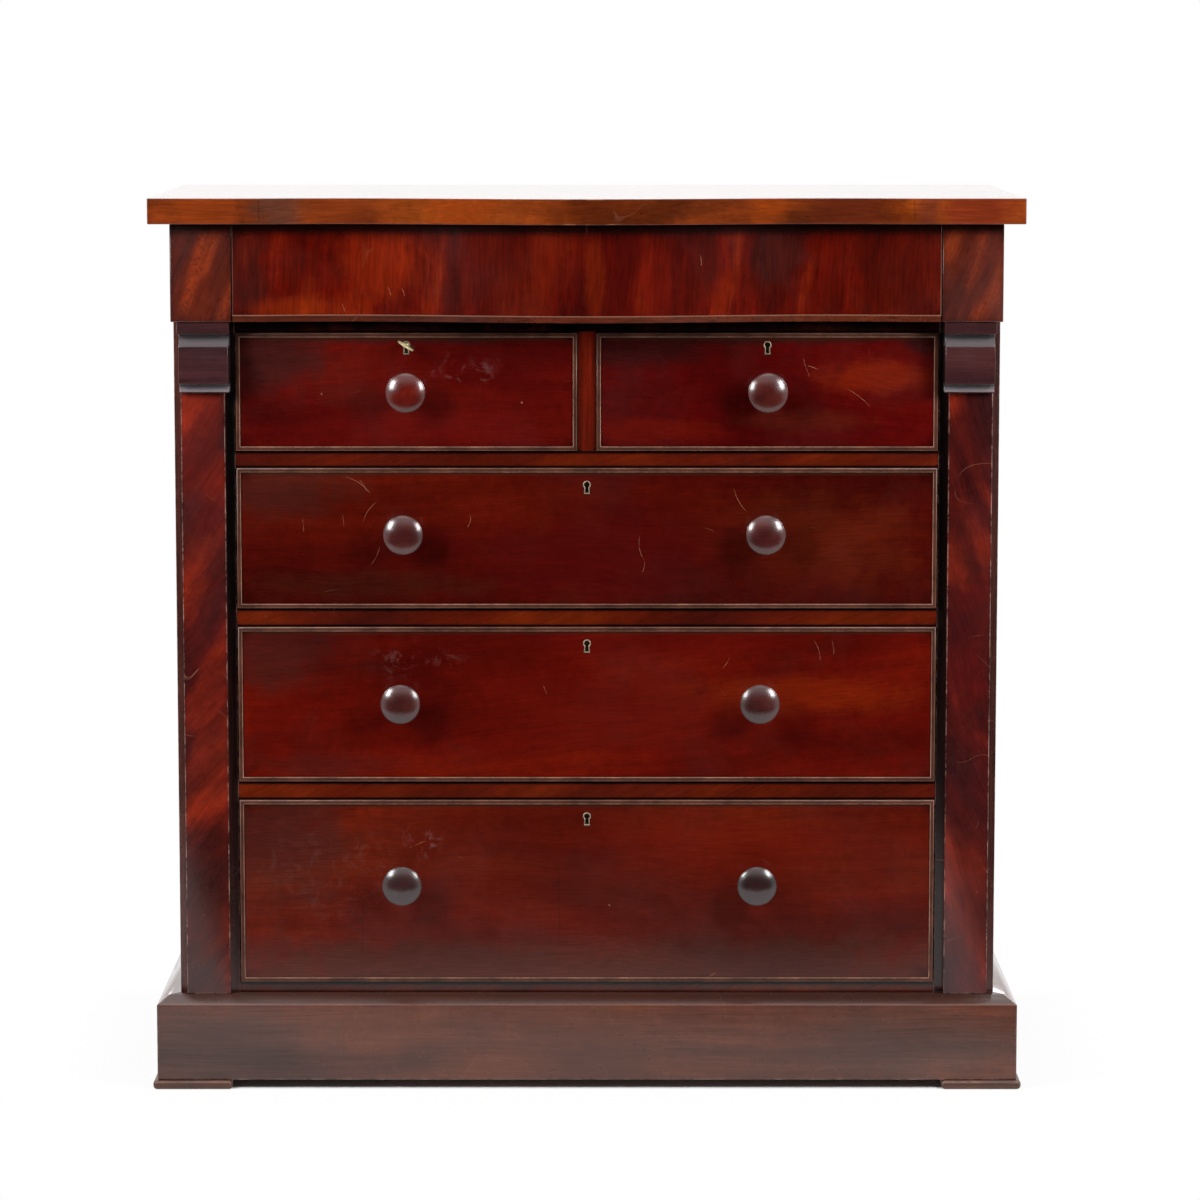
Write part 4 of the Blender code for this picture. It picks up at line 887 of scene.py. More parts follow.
pineLook = {
    "dark": (0.26, 0.13, 0.050), "mid": (0.42, 0.24, 0.105), "light": (0.55, 0.36, 0.18), "fineness": 160,
    "stretch": 60, "figureSize": 5, "figureStretch": 6, "streakDepth": 0.30, "bandDepth": 0.30, "poreDepth": 0.1,
    "hazeAmount": 0.35, "hazeColour": (0.22, 0.12, 0.055), "roughness": 0.62, "bump": 0.12,
}
drawerLooks = {
    "short_left_drawer": {
        "mid": (0.080, 0.0018, 0.0010), "seed": 81.0, "grain": 2,
        "patches": (
            (-0.430, 1.010, 0.100, 0.050, (0.026, 0.006, 0.005), 0.75),
            # painted shadow under the frieze: the dark band along the top
            (-0.240, 1.040, 0.260, 0.013, (0.028, 0.006, 0.005), 0.7),
            (-0.200, 0.915, 0.190, 0.030, (0.105, 0.003, 0.002), 0.5),
            (-0.320, 0.960, 0.070, 0.020, (0.060, 0.006, 0.004), 0.4)),
        "smears": ((-0.172, 0.986, 0.022, 0.014, (0.170, 0.075, 0.072), 0.45),
                   (-0.142, 0.990, 0.016, 0.016, (0.200, 0.095, 0.090), 0.5),
                   (-0.190, 1.000, 0.080, 0.020, (0.110, 0.040, 0.040), 0.3)),
        "scratches": ((-0.3625, 0.963, -0.3610, 0.9605, 0.0, 0.0010),
                      (-0.0895, 0.951, -0.0880, 0.9485, 0.0, 0.0010))},
    "short_right_drawer": {
        "mid": (0.078, 0.0010, 0.0006), "seed": 84.0, "grain": -4,
        "patches": (
            (0.060, 1.020, 0.140, 0.030, (0.030, 0.004, 0.004), 0.7),
            # painted shadow under the frieze: the dark band along the top
            (0.250, 1.038, 0.240, 0.012, (0.028, 0.004, 0.003), 0.7),
            (0.400, 0.985, 0.100, 0.028, (0.160, 0.011, 0.002), 0.6),
            (0.090, 0.912, 0.150, 0.020, (0.130, 0.004, 0.001), 0.6),
            (0.465, 1.030, 0.040, 0.025, (0.018, 0.003, 0.003), 0.8),
            (0.290, 0.925, 0.120, 0.020, (0.090, 0.010, 0.004), 0.5)),
        "scratches": ((0.353, 0.9695, 0.387, 0.9434, 0.002, 0.00028),
                      (0.2946, 1.0117, 0.3046, 0.9836, -0.001, 0.00028),
                      (0.300, 1.000, 0.316, 0.994, 0.001, 0.00028)),
        "cracks": ((0.0247, 0.9561, 0.0980, 0.9563, 0.001, 0.0006),)},
    "upper_drawer": {
        "mid": (0.063, 0.0020, 0.0005), "seed": 87.5, "grain": 1,
        "patches": (
            (-0.420, 0.830, 0.120, 0.050, (0.034, 0.008, 0.005), 0.55),
            (0.300, 0.760, 0.200, 0.080, (0.100, 0.010, 0.002), 0.6),
            (0.050, 0.740, 0.300, 0.080, (0.055, 0.001, 0.001), 0.6),
            (-0.300, 0.700, 0.200, 0.025, (0.048, 0.008, 0.003), 0.5)),
        "scratches": (
            (-0.3309, 0.8481, -0.2962, 0.8248, 0.004, 0.00030),
            (-0.3117, 0.8440, -0.3015, 0.8277, 0.002, 0.00026),
            (-0.2877, 0.8133, -0.3059, 0.7865, -0.003, 0.00026),
            (-0.1603, 0.7968, -0.1645, 0.7782, 0.003, 0.00032),
            (-0.2835, 0.7534, -0.2960, 0.7268, 0.002, 0.00026),
            (-0.3898, 0.7906, -0.3879, 0.7720, 0.001, 0.00024),
            (0.2010, 0.8330, 0.2190, 0.7998, -0.003, 0.00032),
            (0.0727, 0.7680, 0.0790, 0.7330, -0.004, 0.00030),
            (0.0790, 0.7330, 0.0760, 0.7160, 0.001, 0.00026),
            (-0.3350, 0.7960, -0.3330, 0.7800, 0.001, 0.00024))},
    "middle_drawer": {
        "mid": (0.100, 0.0028, 0.0006), "seed": 90.0, "grain": 5,
        "patches": (
            (-0.430, 0.600, 0.090, 0.060, (0.045, 0.010, 0.007), 0.6),
            (0.280, 0.545, 0.200, 0.035, (0.150, 0.012, 0.001), 0.5),
            (0.020, 0.520, 0.200, 0.060, (0.085, 0.003, 0.001), 0.6),
            (0.100, 0.615, 0.300, 0.020, (0.085, 0.002, 0.001), 0.5),
            (-0.380, 0.450, 0.160, 0.022, (0.050, 0.006, 0.004), 0.5)),
        "smears": ((-0.235, 0.600, 0.070, 0.018, (0.170, 0.075, 0.070), 0.40),
                   (-0.260, 0.590, 0.040, 0.022, (0.150, 0.060, 0.055), 0.35)),
        "scratches": ((0.3105, 0.6240, 0.3200, 0.5940, 0.003, 0.00030),
                      (0.1960, 0.5990, 0.1860, 0.5840, 0.001, 0.00028),
                      (0.3360, 0.6240, 0.3390, 0.6020, 0.001, 0.00024),
                      (-0.0600, 0.5600, -0.0550, 0.5480, 0.0, 0.00028))},
    "lower_drawer": {
        "mid": (0.098, 0.0058, 0.0016), "seed": 93.0, "grain": 0,
        "patches": (
            # painted reflection of the pale floor: the grey band along the bottom
            (0.000, 0.165, 0.900, 0.055, (0.050, 0.018, 0.012), 0.55),
            (-0.420, 0.330, 0.120, 0.110, (0.046, 0.011, 0.008), 0.6),
            (0.150, 0.330, 0.300, 0.050, (0.100, 0.004, 0.001), 0.5),
            (-0.160, 0.310, 0.200, 0.020, (0.110, 0.010, 0.003), 0.4),
            (0.020, 0.260, 0.300, 0.080, (0.108, 0.008, 0.003), 0.5)),
        "smears": ((-0.232, 0.342, 0.030, 0.028, (0.190, 0.100, 0.090), 0.5),
                   (-0.350, 0.300, 0.120, 0.090, (0.100, 0.045, 0.040), 0.18)),
        "scratches": ((-0.238, 0.336, -0.222, 0.343, 0.001, 0.00035),
                      (0.030, 0.255, 0.032, 0.252, 0.0, 0.0010)),
        "cracks": ((-0.310, 0.263, -0.312, 0.165, 0.0, 0.0005), (-0.040, 0.330, -0.038, 0.190, 0.0, 0.0005))},
}
drawerFront = {
    "inset": 0.007, "darkShare": 0.50, "lightShares": (1.55, 2.4, 1.4),  # colours as shares of each drawer's own
    "grime": (0.028, 0.012, 0.006), "grimeDeep": 0.0030, "grimeAmount": 0.55,
    "wood": {
        "figureSize": 5.0, "figureStretch": 2.4, "waviness": 0.06, "fineness": 560, "stretch": 34,
        "streakDepth": 0.20, "bandDepth": 0.15, "mottle": 0.14, "dirtAndShadeWidth": 0.026, "dirtAndShadeAmount": 0.45,
        "hazeAmount": 0.25, "hazeColour": (0.055, 0.012, 0.010), "pitAmount": 0.35, "scratchAmount": 0.20,
        "scratchRarity": 0.68, "roughness": 0.19, "bump": 0.04, "bandFade": 0.0014},
    "backWood": {"dark": (0.10, 0.030, 0.014), "mid": (0.17, 0.055, 0.026), "light": (0.23, 0.085, 0.042),
                 "seed": 80.0, "roughness": 0.6},
}


def makeDrawerFronts():
    raw = woodMaterial("frontBackMahogany", **drawerFront["backWood"])
    for drawer, look in drawerLooks.items():
        low, high = inset(drawer + "_front", drawerFront["inset"])
        grime = plainBand(high[2] - drawerFront["grimeDeep"], high[2] + pastEdge, drawerFront["grime"],
                          drawerFront["grimeAmount"])
        wood = woodMaterial(
            drawer + "Mahogany", **look, **drawerFront["wood"], bands=(grime,),
            dark=tuple(share * drawerFront["darkShare"] for share in look["mid"]),
            light=tuple(share * gain for share, gain in zip(look["mid"], drawerFront["lightShares"])),
            low=(low[0], low[1] - 1, low[2]), high=(high[0], low[1] + 1, high[2]))
        paintNode(drawer + "_front", wood, raw)


bead = {"roundSteps": 10, "flatness": 0.55, "width": 0.006, "proudShare": 0.3}


def makeBeads():
    material = beadMaterial()
    for drawer in beadedDrawers:
        low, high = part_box(drawer + "_bead")
        section = [(0.0, high.y)]
        proud = min(bead["width"] / 2, (high.y - low.y) * bead["proudShare"])
        for i in range(bead["roundSteps"] + 1):
            angle = math.pi * (1 - i / bead["roundSteps"])
            rise = math.sin(angle) ** bead["flatness"]
            section.append((bead["width"] * (1 + math.cos(angle)) / 2, low.y + proud * (1 - rise)))
        section.append((bead["width"], high.y))

        def frameLoop(drawnIn, y):
            left, right, foot, head = low.x + drawnIn, high.x - drawnIn, low.z + drawnIn, high.z - drawnIn
            return [(left, y, foot), (right, y, foot), (right, y, head), (left, y, head)]

        name = drawer + "_bead_strip"
        mesh = meshFromLoops(name, [frameLoop(*point) for point in section], ring=True, smooth=40)
        strip = mesh.uv_layers.new(name="strip")
        for loop in mesh.loops:
            point = mesh.vertices[loop.vertex_index].co
            away = min(point.x - low.x, high.x - point.x, point.z - low.z, high.z - point.z)
            strip.data[loop.index].uv = (point.x + point.z, min(1.0, max(0.0, away / bead["width"])))
        newPiece(name, mesh, material, drawer, (drawer + "_bead",))


# Geometry Nodes: turned knobs, dovetails, screws and nails
def openGeometry(name, inputs):
    inputs = {"Geometry": "Geometry", **inputs, "Material": "Material"}
    return openTree(name, "GeometryNodeTree", inputs, {"Geometry": "Geometry"})


def closeGeometry(tree, instances, material, end):
    real = addNode(tree, "GeometryNodeRealizeInstances", {0: instances}).outputs[0]
    painted = addNode(tree, "GeometryNodeSetMaterial", {"Geometry": real, "Material": material}).outputs[0]
    tree.links.new(painted, end["Geometry"])


knob = {
    "profile": (  # share along the turning, how wide the knob is there and how far it stands out
        (0.00, 0.56, 0.00), (0.05, 0.57, 0.055), (0.10, 0.52, 0.10), (0.15, 0.45, 0.15), (0.20, 0.41, 0.24),
        (0.25, 0.41, 0.32), (0.30, 0.45, 0.43), (0.36, 0.56, 0.535), (0.42, 0.72, 0.615), (0.48, 0.88, 0.685),
        (0.52, 0.955, 0.708), (0.55, 0.988, 0.734), (0.575, 1.00, 0.755), (0.60, 0.997, 0.772),
        (0.615, 0.990, 0.783), (0.63, 0.981, 0.787), (0.64, 0.975, 0.780), (0.65, 0.970, 0.783),
        (0.66, 0.963, 0.806), (0.69, 0.930, 0.824), (0.73, 0.850, 0.857), (0.78, 0.750, 0.892),
        (0.84, 0.600, 0.932), (0.89, 0.450, 0.962), (0.945, 0.270, 0.987), (1.00, 0.004, 1.000)),
    "wood": {"grain": 12, "seed": 101.0, "figureSize": 30, "figureStretch": 2, "fineness": 600, "stretch": 20,
             "streakDepth": 0.15, "bandDepth": 0.15, "hazeAmount": 0.15, "hazeColour": (0.060, 0.020, 0.018),
             "roughness": 0.24, "bump": 0.04, "coat": 0.7, "coatRoughness": 0.20},
    "colours": {  # dark, mid and light for the knobs of each drawer
        "short_left_drawer": ((0.050, 0.003, 0.001), (0.108, 0.004, 0.001), (0.155, 0.010, 0.002)),
        "short_right_drawer": ((0.038, 0.005, 0.004), (0.066, 0.007, 0.005), (0.095, 0.013, 0.008)),
        "upper_drawer": ((0.034, 0.006, 0.005), (0.062, 0.009, 0.008), (0.090, 0.016, 0.012)),
        "middle_drawer": ((0.026, 0.006, 0.005), (0.050, 0.009, 0.008), (0.078, 0.015, 0.011)),
        "lower_drawer": ((0.016, 0.006, 0.006), (0.028, 0.009, 0.009), (0.045, 0.013, 0.012))},
}


def makeKnobTree():
    tree, given, end = openGeometry("turnedKnob", {"Radius": 0.027, "Reach": 0.041, "Rings": 110, "Around": 72})
    line = addNode(tree, "GeometryNodeCurvePrimitiveLine", {"Start": (0, 0, 0), "End": (0, -1, 0)}).outputs[0]
    line = addNode(tree, "GeometryNodeResampleCurve", {"Curve": line, "Count": given["Rings"]}).outputs[0]
    index = addNode(tree, "GeometryNodeInputIndex").outputs[0]
    share = maths(tree, "DIVIDE", index, maths(tree, "SUBTRACT", given["Rings"], 1.0))
    profile = knob["profile"]
    curves = []
    for column in (1, 2):
        curve = addNode(tree, "ShaderNodeFloatCurve", {"Value": share})
        points = curve.mapping.curves[0].points
        points[0].location = (profile[0][0], profile[0][column])
        points[1].location = (profile[-1][0], profile[-1][column])
        for row in profile[1:-1]:
            points.new(row[0], row[column])
        curve.mapping.update()
        curves.append(curve.outputs[0])
    out = times(tree, curves[1], times(tree, given["Reach"], -1.0))
    spot = joinXyz(tree, y=out)
    line = addNode(tree, "GeometryNodeSetPosition", {"Geometry": line, "Position": spot}).outputs[0]
    ring = addNode(tree, "GeometryNodeCurvePrimitiveCircle", {
        "Resolution": given["Around"], "Radius": 1.0}).outputs[0]
    wide = times(tree, curves[0], given["Radius"])
    turned = addNode(tree, "GeometryNodeCurveToMesh", {"Curve": line, "Profile Curve": ring, "Scale": wide,
                                                       "Fill Caps": True}).outputs[0]
    turned = addNode(tree, "GeometryNodeSetShadeSmooth", {"Geometry": turned}).outputs[0]
    placed = addNode(tree, "GeometryNodeInstanceOnPoints", {"Points": given["Geometry"], "Instance": turned})
    closeGeometry(tree, placed.outputs[0], given["Material"], end)
    return tree


fixing = {"sides": 18, "slotLong": 2.4, "slotRaise": 0.6, "spin": 1.4, "facing": (math.radians(-90), 0.0, 0.0)}


def makeFixingTree():
    tree, given, end = openGeometry("fixingHeads", {
        "Head Radius": 0.003, "Head Height": 0.0006, "Slot Width": 0.0007, "Turn": (0.0, 0.0, 0.0), "Seed": 3})
    head = addNode(tree, "GeometryNodeMeshCylinder", {
        "Vertices": fixing["sides"], "Radius": given["Head Radius"], "Depth": given["Head Height"]}).outputs["Mesh"]
    size = joinXyz(tree, times(tree, given["Head Radius"], fixing["slotLong"]), given["Slot Width"],
                   given["Head Height"])
    slot = addNode(tree, "GeometryNodeMeshCube", {"Size": size}).outputs["Mesh"]
    lift = joinXyz(tree, z=times(tree, given["Head Height"], fixing["slotRaise"]))
    slot = addNode(tree, "GeometryNodeTransform", {"Geometry": slot, "Translation": lift}).outputs[0]
    cut = addNode(tree, "GeometryNodeMeshBoolean", {0: head, 1: slot}, operation="DIFFERENCE").outputs[0]
    limits = {2: -fixing["spin"], 3: fixing["spin"], "Seed": given["Seed"]}
    around = joinXyz(tree, z=addNode(tree, "FunctionNodeRandomValue", limits).outputs[1])
    placed = addNode(tree, "GeometryNodeInstanceOnPoints", {
        "Points": given["Geometry"], "Instance": cut, "Rotation": given["Turn"]}).outputs[0]
    placed = addNode(tree, "GeometryNodeRotateInstances", {"Instances": placed, "Rotation": around}).outputs[0]
    closeGeometry(tree, placed, given["Material"], end)
    return tree


def makeDovetailTree():
    tree, given, end = openGeometry("dovetails", {
        "Thickness": 0.002, "Length": 0.015, "Width": 0.02, "Flare": 0.25})
    size = joinXyz(tree, given["Thickness"], given["Length"], given["Width"])
    tail = addNode(tree, "GeometryNodeMeshCube", {"Size": size}).outputs["Mesh"]
    parts = splitXyz(tree, addNode(tree, "GeometryNodeInputPosition").outputs[0])
    reach = times(tree, maths(tree, "DIVIDE", parts[1], given["Length"]), given["Flare"])
    wide = times(tree, parts[2], maths(tree, "ADD", reach, 1.0))
    spot = joinXyz(tree, parts[0], parts[1], wide)
    tail = addNode(tree, "GeometryNodeSetPosition", {"Geometry": tail, "Position": spot}).outputs[0]
    placed = addNode(tree, "GeometryNodeInstanceOnPoints", {"Points": given["Geometry"], "Instance": tail})
    closeGeometry(tree, placed.outputs[0], given["Material"], end)
    return tree


def growOnPoints(name, tree, points, values, body, replaced=()):
    base = bpy.data.meshes.new(name + "_points")
    base.from_pydata(points, [], [])
    holder = addObject(name + "_points", base)
    grower = holder.modifiers.new("grow", "NODES")
    grower.node_group = tree
    for item in tree.interface.items_tree:
        if item.in_out == "INPUT" and item.name in values:
            grower[item.identifier] = values[item.name]
    bpy.context.view_layer.update()
    mesh = bpy.data.meshes.new_from_object(holder.evaluated_get(bpy.context.evaluated_depsgraph_get()))
    bpy.data.objects.remove(holder)
    mesh.name = name
    return newPiece(name, mesh, None, body, replaced)


knobTree = makeKnobTree()
fixingTree = makeFixingTree()
dovetailTree = makeDovetailTree()


def makeKnobs():
    for drawer in beadedDrawers:
        dark, mid, light = knob["colours"][drawer]
        material = woodMaterial(drawer + "Turned", dark=dark, mid=mid, light=light, **knob["wood"])
        ends = ("",) if drawer in shortDrawers else ("_left", "_right")
        cadKnobs = [drawer + "_knob" + end for end in ends]
        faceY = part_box(drawer + "_front")[0].y
        points = []
        for node in cadKnobs:
            low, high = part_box(node)
            points.append(((low.x + high.x) / 2, faceY, (low.z + high.z) / 2))
        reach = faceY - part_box(cadKnobs[0])[0].y
        values = {"Radius": (high.x - low.x) / 2, "Reach": reach, "Material": material}
        growOnPoints(drawer + "_turned_knobs", knobTree, points, values, drawer, tuple(cadKnobs))


def keyholeOutline(radius, footDrop, footWidth, waistShare=0.84, steps=40):
    foot = footWidth / 2
    start = -math.acos(min(1.0, foot * waistShare / radius))
    sweep = math.pi - 2 * start
    eye = [start + sweep * i / steps for i in range(steps + 1)]
    return [(foot, -footDrop), *((radius * math.cos(a), radius * math.sin(a)) for a in eye), (-foot, -footDrop)]


escutcheon = {
    "hole": 0.0038, "footDrop": 0.0112, "footWidth": 0.0050, "wall": 0.0017, "proud": 0.0005,
    "rounding": (0.72, 0.25),  # where the proud face starts and ends, as shares of the wall
}


def makeBrass(brass):
    hole, wall = escutcheon["hole"], escutcheon["wall"]
    drop, foot = escutcheon["footDrop"], escutcheon["footWidth"]
    for drawer in beadedDrawers:
        low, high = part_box(drawer + "_escutcheon")
        centreX = (low.x + high.x) / 2
        centreZ = high.z - hole - wall
        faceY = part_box(drawer + "_front")[0].y
        loops = []
        top = faceY - escutcheon["proud"]
        outer, inner = (wall * share for share in escutcheon["rounding"])
        for grow, y in ((wall, high.y), (wall, faceY), (outer, top), (inner, top), (0.0, faceY), (0.0, high.y)):
            outline = keyholeOutline(hole + grow, drop + grow, foot + 2 * grow)
            loops.append([(centreX + x, y, centreZ + z) for x, z in outline])
        mesh = meshFromLoops(drawer + "_escutcheon_brass", loops, ring=True, smooth=50)
        newPiece(drawer + "_escutcheon_brass", mesh, brass, drawer, (drawer + "_escutcheon",))
        paintNode(drawer + "_lock", brass)
        makeLockScrews(drawer, brass)
    paintNode("short_left_drawer_bolt", brass)


lockScrew = {"radius": 0.0032, "height": 0.0008, "slot": 0.0008, "edgeShare": 0.14}


def makeLockScrews(drawer, brass):
    low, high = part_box(drawer + "_lock")
    wide, tall = high.x - low.x, high.z - low.z
    edge = lockScrew["edgeShare"] * min(wide, tall)
    points = [(x, high.y, z) for x in (low.x + edge, high.x - edge) for z in (low.z + edge, high.z - edge)]
    values = {"Head Radius": lockScrew["radius"], "Head Height": lockScrew["height"],
              "Slot Width": lockScrew["slot"], "Turn": fixing["facing"], "Material": brass}
    growOnPoints(drawer + "_lock_screws", fixingTree, points, values, drawer)


key = {
    "stem": 0.0027, "collar": 0.0034, "bowWide": 0.0125, "bowLong": 0.0095, "bowWall": 0.0045, "bowThick": 0.0021,
    "segments": 40, "wallSegments": 12,
    "steps": (("stem", 1.0, 0.0050), ("collar", 1.0, 0.0042), ("collar", 1.0, 0.0026), ("stem", 0.9, 0.0018),
              ("stem", 0.8, -0.0020)),  # which radius, what share of it, how far behind the bow
    "bitHalf": 0.001, "bitFrom": 0.0025, "bitTo": 0.0086, "bitLong": 0.004,
}


def makeKey(brass):
    axis = next(joint for joint in frame["joints"] if joint["name"] == "key_turn")
    centre = Vector(axis["pos_m"])
    rest = math.radians(axis["range_deg"][0])  # the bow rests at the joint's lower turn
    low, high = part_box("key")
    stemEnd = low.y + 2 * key["bowLong"] - key["bowWall"] / 2
    shape = bmesh.new()

    def turned(x, y, z):
        return (centre.x + x * math.cos(rest) + z * math.sin(rest), y,
                centre.z - x * math.sin(rest) + z * math.cos(rest))

    around = [2 * math.pi * i / key["segments"] for i in range(key["segments"])]
    profile = [(key["stem"], high.y)]
    profile += [(key[part] * share, stemEnd + behind) for part, share, behind in key["steps"]]
    addSkin(shape, [[turned(radius * math.cos(a), y, radius * math.sin(a)) for a in around]
                    for radius, y in profile])
    middle = low.y + key["bowLong"]
    rows = []
    for a in around:  # the bow, a flattened ring thinned towards its rim
        row = []
        for i in range(key["wallSegments"]):
            b = 2 * math.pi * i / key["wallSegments"]
            out = key["bowWall"] / 2 * (1 + math.cos(b))
            thick = key["bowThick"] * math.sin(b) * (0.75 + 0.25 * math.cos(b + math.pi))
            row.append(turned(thick, middle + (key["bowLong"] - key["bowWall"] + out) * math.cos(a),
                              (key["bowWide"] - key["bowWall"] + out) * math.sin(a)))
        rows.append(row)
    addSkin(shape, rows, ring=True)
    half, near, far = key["bitHalf"], key["bitFrom"], key["bitTo"]
    bit = ((-half, -near), (half, -near), (half, -far), (-half, -far))
    addSkin(shape, [[turned(x, y, z) for x, z in bit] for y in (high.y - key["bitLong"], high.y)])
    bmesh.ops.recalc_face_normals(shape, faces=shape.faces)
    newPiece("key_brass", closeMesh("key_brass", shape, 40), brass, "key", ("key",))


# Drawer boxes: sides, back, boarded bottom with slips and a muntin, dovetailed at both ends
drawerBox = {
    "side": 0.011, "back": 0.010, "bottomRaise": 0.009, "bottom": 0.007, "backDrop": 0.006, "boards": 3,
    "boardGap": 0.0004, "slip": 0.008, "slipSteps": 6, "muntinWidth": 0.045, "muntinRise": 0.003,
    "muntinRound": 0.0025, "edgeRound": 0.0012, "tailPitch": 0.036, "tailWidth": 0.021, "tailProud": 0.0002,
    "tailLength": 0.014, "tailDeep": 0.002, "tailFlare": -0.30, "pinFlare": -0.35, "seed": 112.0, "seedStep": 3,
    "tailLight": (0.62, 0.42, 0.22), "endGrain": {"mid": (0.28, 0.15, 0.06), "light": (0.36, 0.20, 0.09)},
}


def makeDrawerBox(drawer, seed, tails, pins):
    low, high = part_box(drawer + "_box")
    size = drawerBox
    inner = (low.x + size["side"], high.x - size["side"])
    backY = high.y - size["back"]
    floorLow = low.z + size["bottomRaise"]
    floorHigh = floorLow + size["bottom"]
    sideWood = woodMaterial(drawer + "SidePine", **pineLook, alongDepth=True, seed=seed)
    crossWood = woodMaterial(drawer + "BottomPine", **pineLook, grain=0, seed=seed + 0.7)

    def pinePart(part, blocks, wood, replaced=()):
        return newPiece(drawer + part, blocksMesh(drawer + part, blocks), wood, drawer, replaced)

    sides = [(low, (inner[0], high.y, high.z)), ((inner[1], low.y, low.z), high)]
    roundEdges(pinePart("_sides", sides, sideWood, (drawer + "_box",)), size["edgeRound"])
    back = [((inner[0], backY, floorHigh), (inner[1], high.y, high.z - size["backDrop"]))]
    roundEdges(pinePart("_back", back, crossWood), size["edgeRound"])
    bays = [inner]
    if drawer not in shortDrawers:
        half = size["muntinWidth"] / 2
        bays = [(inner[0], -half), (half, inner[1])]
        muntin = [((-half, low.y, floorLow), (half, high.y, floorHigh + size["muntinRise"]))]
        roundEdges(pinePart("_bottom_muntin", muntin, sideWood), size["muntinRound"])
    boards = []
    for left, right in bays:
        for i in range(size["boards"]):
            start, end = (low.y + (high.y - low.y) * (i + step) / size["boards"] for step in (0, 1))
            boards.append(((left, start, floorLow), (right, end - size["boardGap"], floorHigh)))
    pinePart("_bottom", boards, crossWood)

    arc = [math.pi / 2 * i / size["slipSteps"] for i in range(size["slipSteps"] + 1)]
    section = [(0.0, 0.0)] + [(size["slip"] * math.cos(a), size["slip"] * math.sin(a)) for a in arc]
    for part, x, inwards in (("_slip_left", inner[0], 1), ("_slip_right", inner[1], -1)):
        loops = [[(x + inwards * out, y, floorHigh + up) for out, up in section] for y in (low.y, backY)]
        newPiece(drawer + part, meshFromLoops(drawer + part, loops, smooth=40), sideWood, drawer)

    count = max(2, round((high.z - low.z) / size["tailPitch"]))
    pitch = (high.z - low.z) / count
    thick, tail = size["tailDeep"], size["tailLength"]
    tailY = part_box(drawer + "_front")[1].y - tail / 2
    edges = (low.x + thick / 2 - size["tailProud"], high.x - thick / 2 + size["tailProud"])
    points = [(x, tailY, low.z + pitch * (i + 0.5)) for x in edges for i in range(count)]
    values = {"Thickness": thick, "Length": tail, "Width": size["tailWidth"], "Flare": size["tailFlare"],
              "Material": tails}
    growOnPoints(drawer + "_front_tails", dovetailTree, points, values, drawer)
    points = [(x, high.y - size["back"] / 2, low.z + pitch * i) for x in edges for i in range(1, count)]
    values = {"Thickness": thick, "Length": size["back"], "Width": pitch - size["tailWidth"],
              "Flare": size["pinFlare"], "Material": pins}
    growOnPoints(drawer + "_back_pins", dovetailTree, points, values, drawer)


def makeDrawerBoxes():
    tails = woodMaterial("tailPine", **{**pineLook, "light": drawerBox["tailLight"]}, alongDepth=True, seed=110.0)
    pins = woodMaterial("endGrainPine", **{**pineLook, **drawerBox["endGrain"]}, seed=111.0)
    for number, drawer in enumerate(beadedDrawers + ("frieze_drawer",)):
        makeDrawerBox(drawer, drawerBox["seed"] + number * drawerBox["seedStep"], tails, pins)


backBoards = {
    "count": 6, "gap": 0.0012, "edgeRound": 0.0010, "nailRadius": 0.0028, "nailHeight": 0.0008, "nailInset": 0.012,
    "nailHeights": (0.27, 0.5, 0.71), "nailShares": (0.12, 0.86),  # shares of the height and of a board's width
}


def makeBack():
    low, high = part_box("back_panel")
    count, tall = backBoards["count"], high.z - low.z
    wide = (high.x - low.x) / count
    wood = woodMaterial("backPine", **pineLook, grain=90, seed=140.0)
    boards = [((low.x + wide * i, low.y, low.z), (low.x + wide * (i + 1) - backBoards["gap"], high.y, high.z))
              for i in range(count)]
    boarded = newPiece("back_boards", blocksMesh("back_boards", boards), wood, "carcass", ("back_panel",))
    roundEdges(boarded, backBoards["edgeRound"])
    heights = [low.z + backBoards["nailInset"], *(low.z + tall * share for share in backBoards["nailHeights"]),
               high.z - backBoards["nailInset"]]
    points = [(low.x + wide * (i + share), high.y, z) for i in range(count) for share in backBoards["nailShares"]
              for z in heights]
    values = {"Head Radius": backBoards["nailRadius"], "Head Height": backBoards["nailHeight"], "Slot Width": 0.0,
              "Turn": fixing["facing"], "Material": metalMaterial("oldIron")}
    growOnPoints("back_nails", fixingTree, points, values, "carcass")


print("finishes and trees made")
makeTop()
makeFrieze()
print("top and frieze made")
makeCase()
makePlinth()
makeCorbels()
makeRails()
print("case made")
makeDrawerFronts()
makeBeads()
makeKnobs()
makeBrass(metalMaterial("dullBrass"))
makeKey(metalMaterial("handledBrass"))
print("drawer fronts, knobs and locks made")
makeDrawerBoxes()
makeBack()
print("drawer boxes and back made")


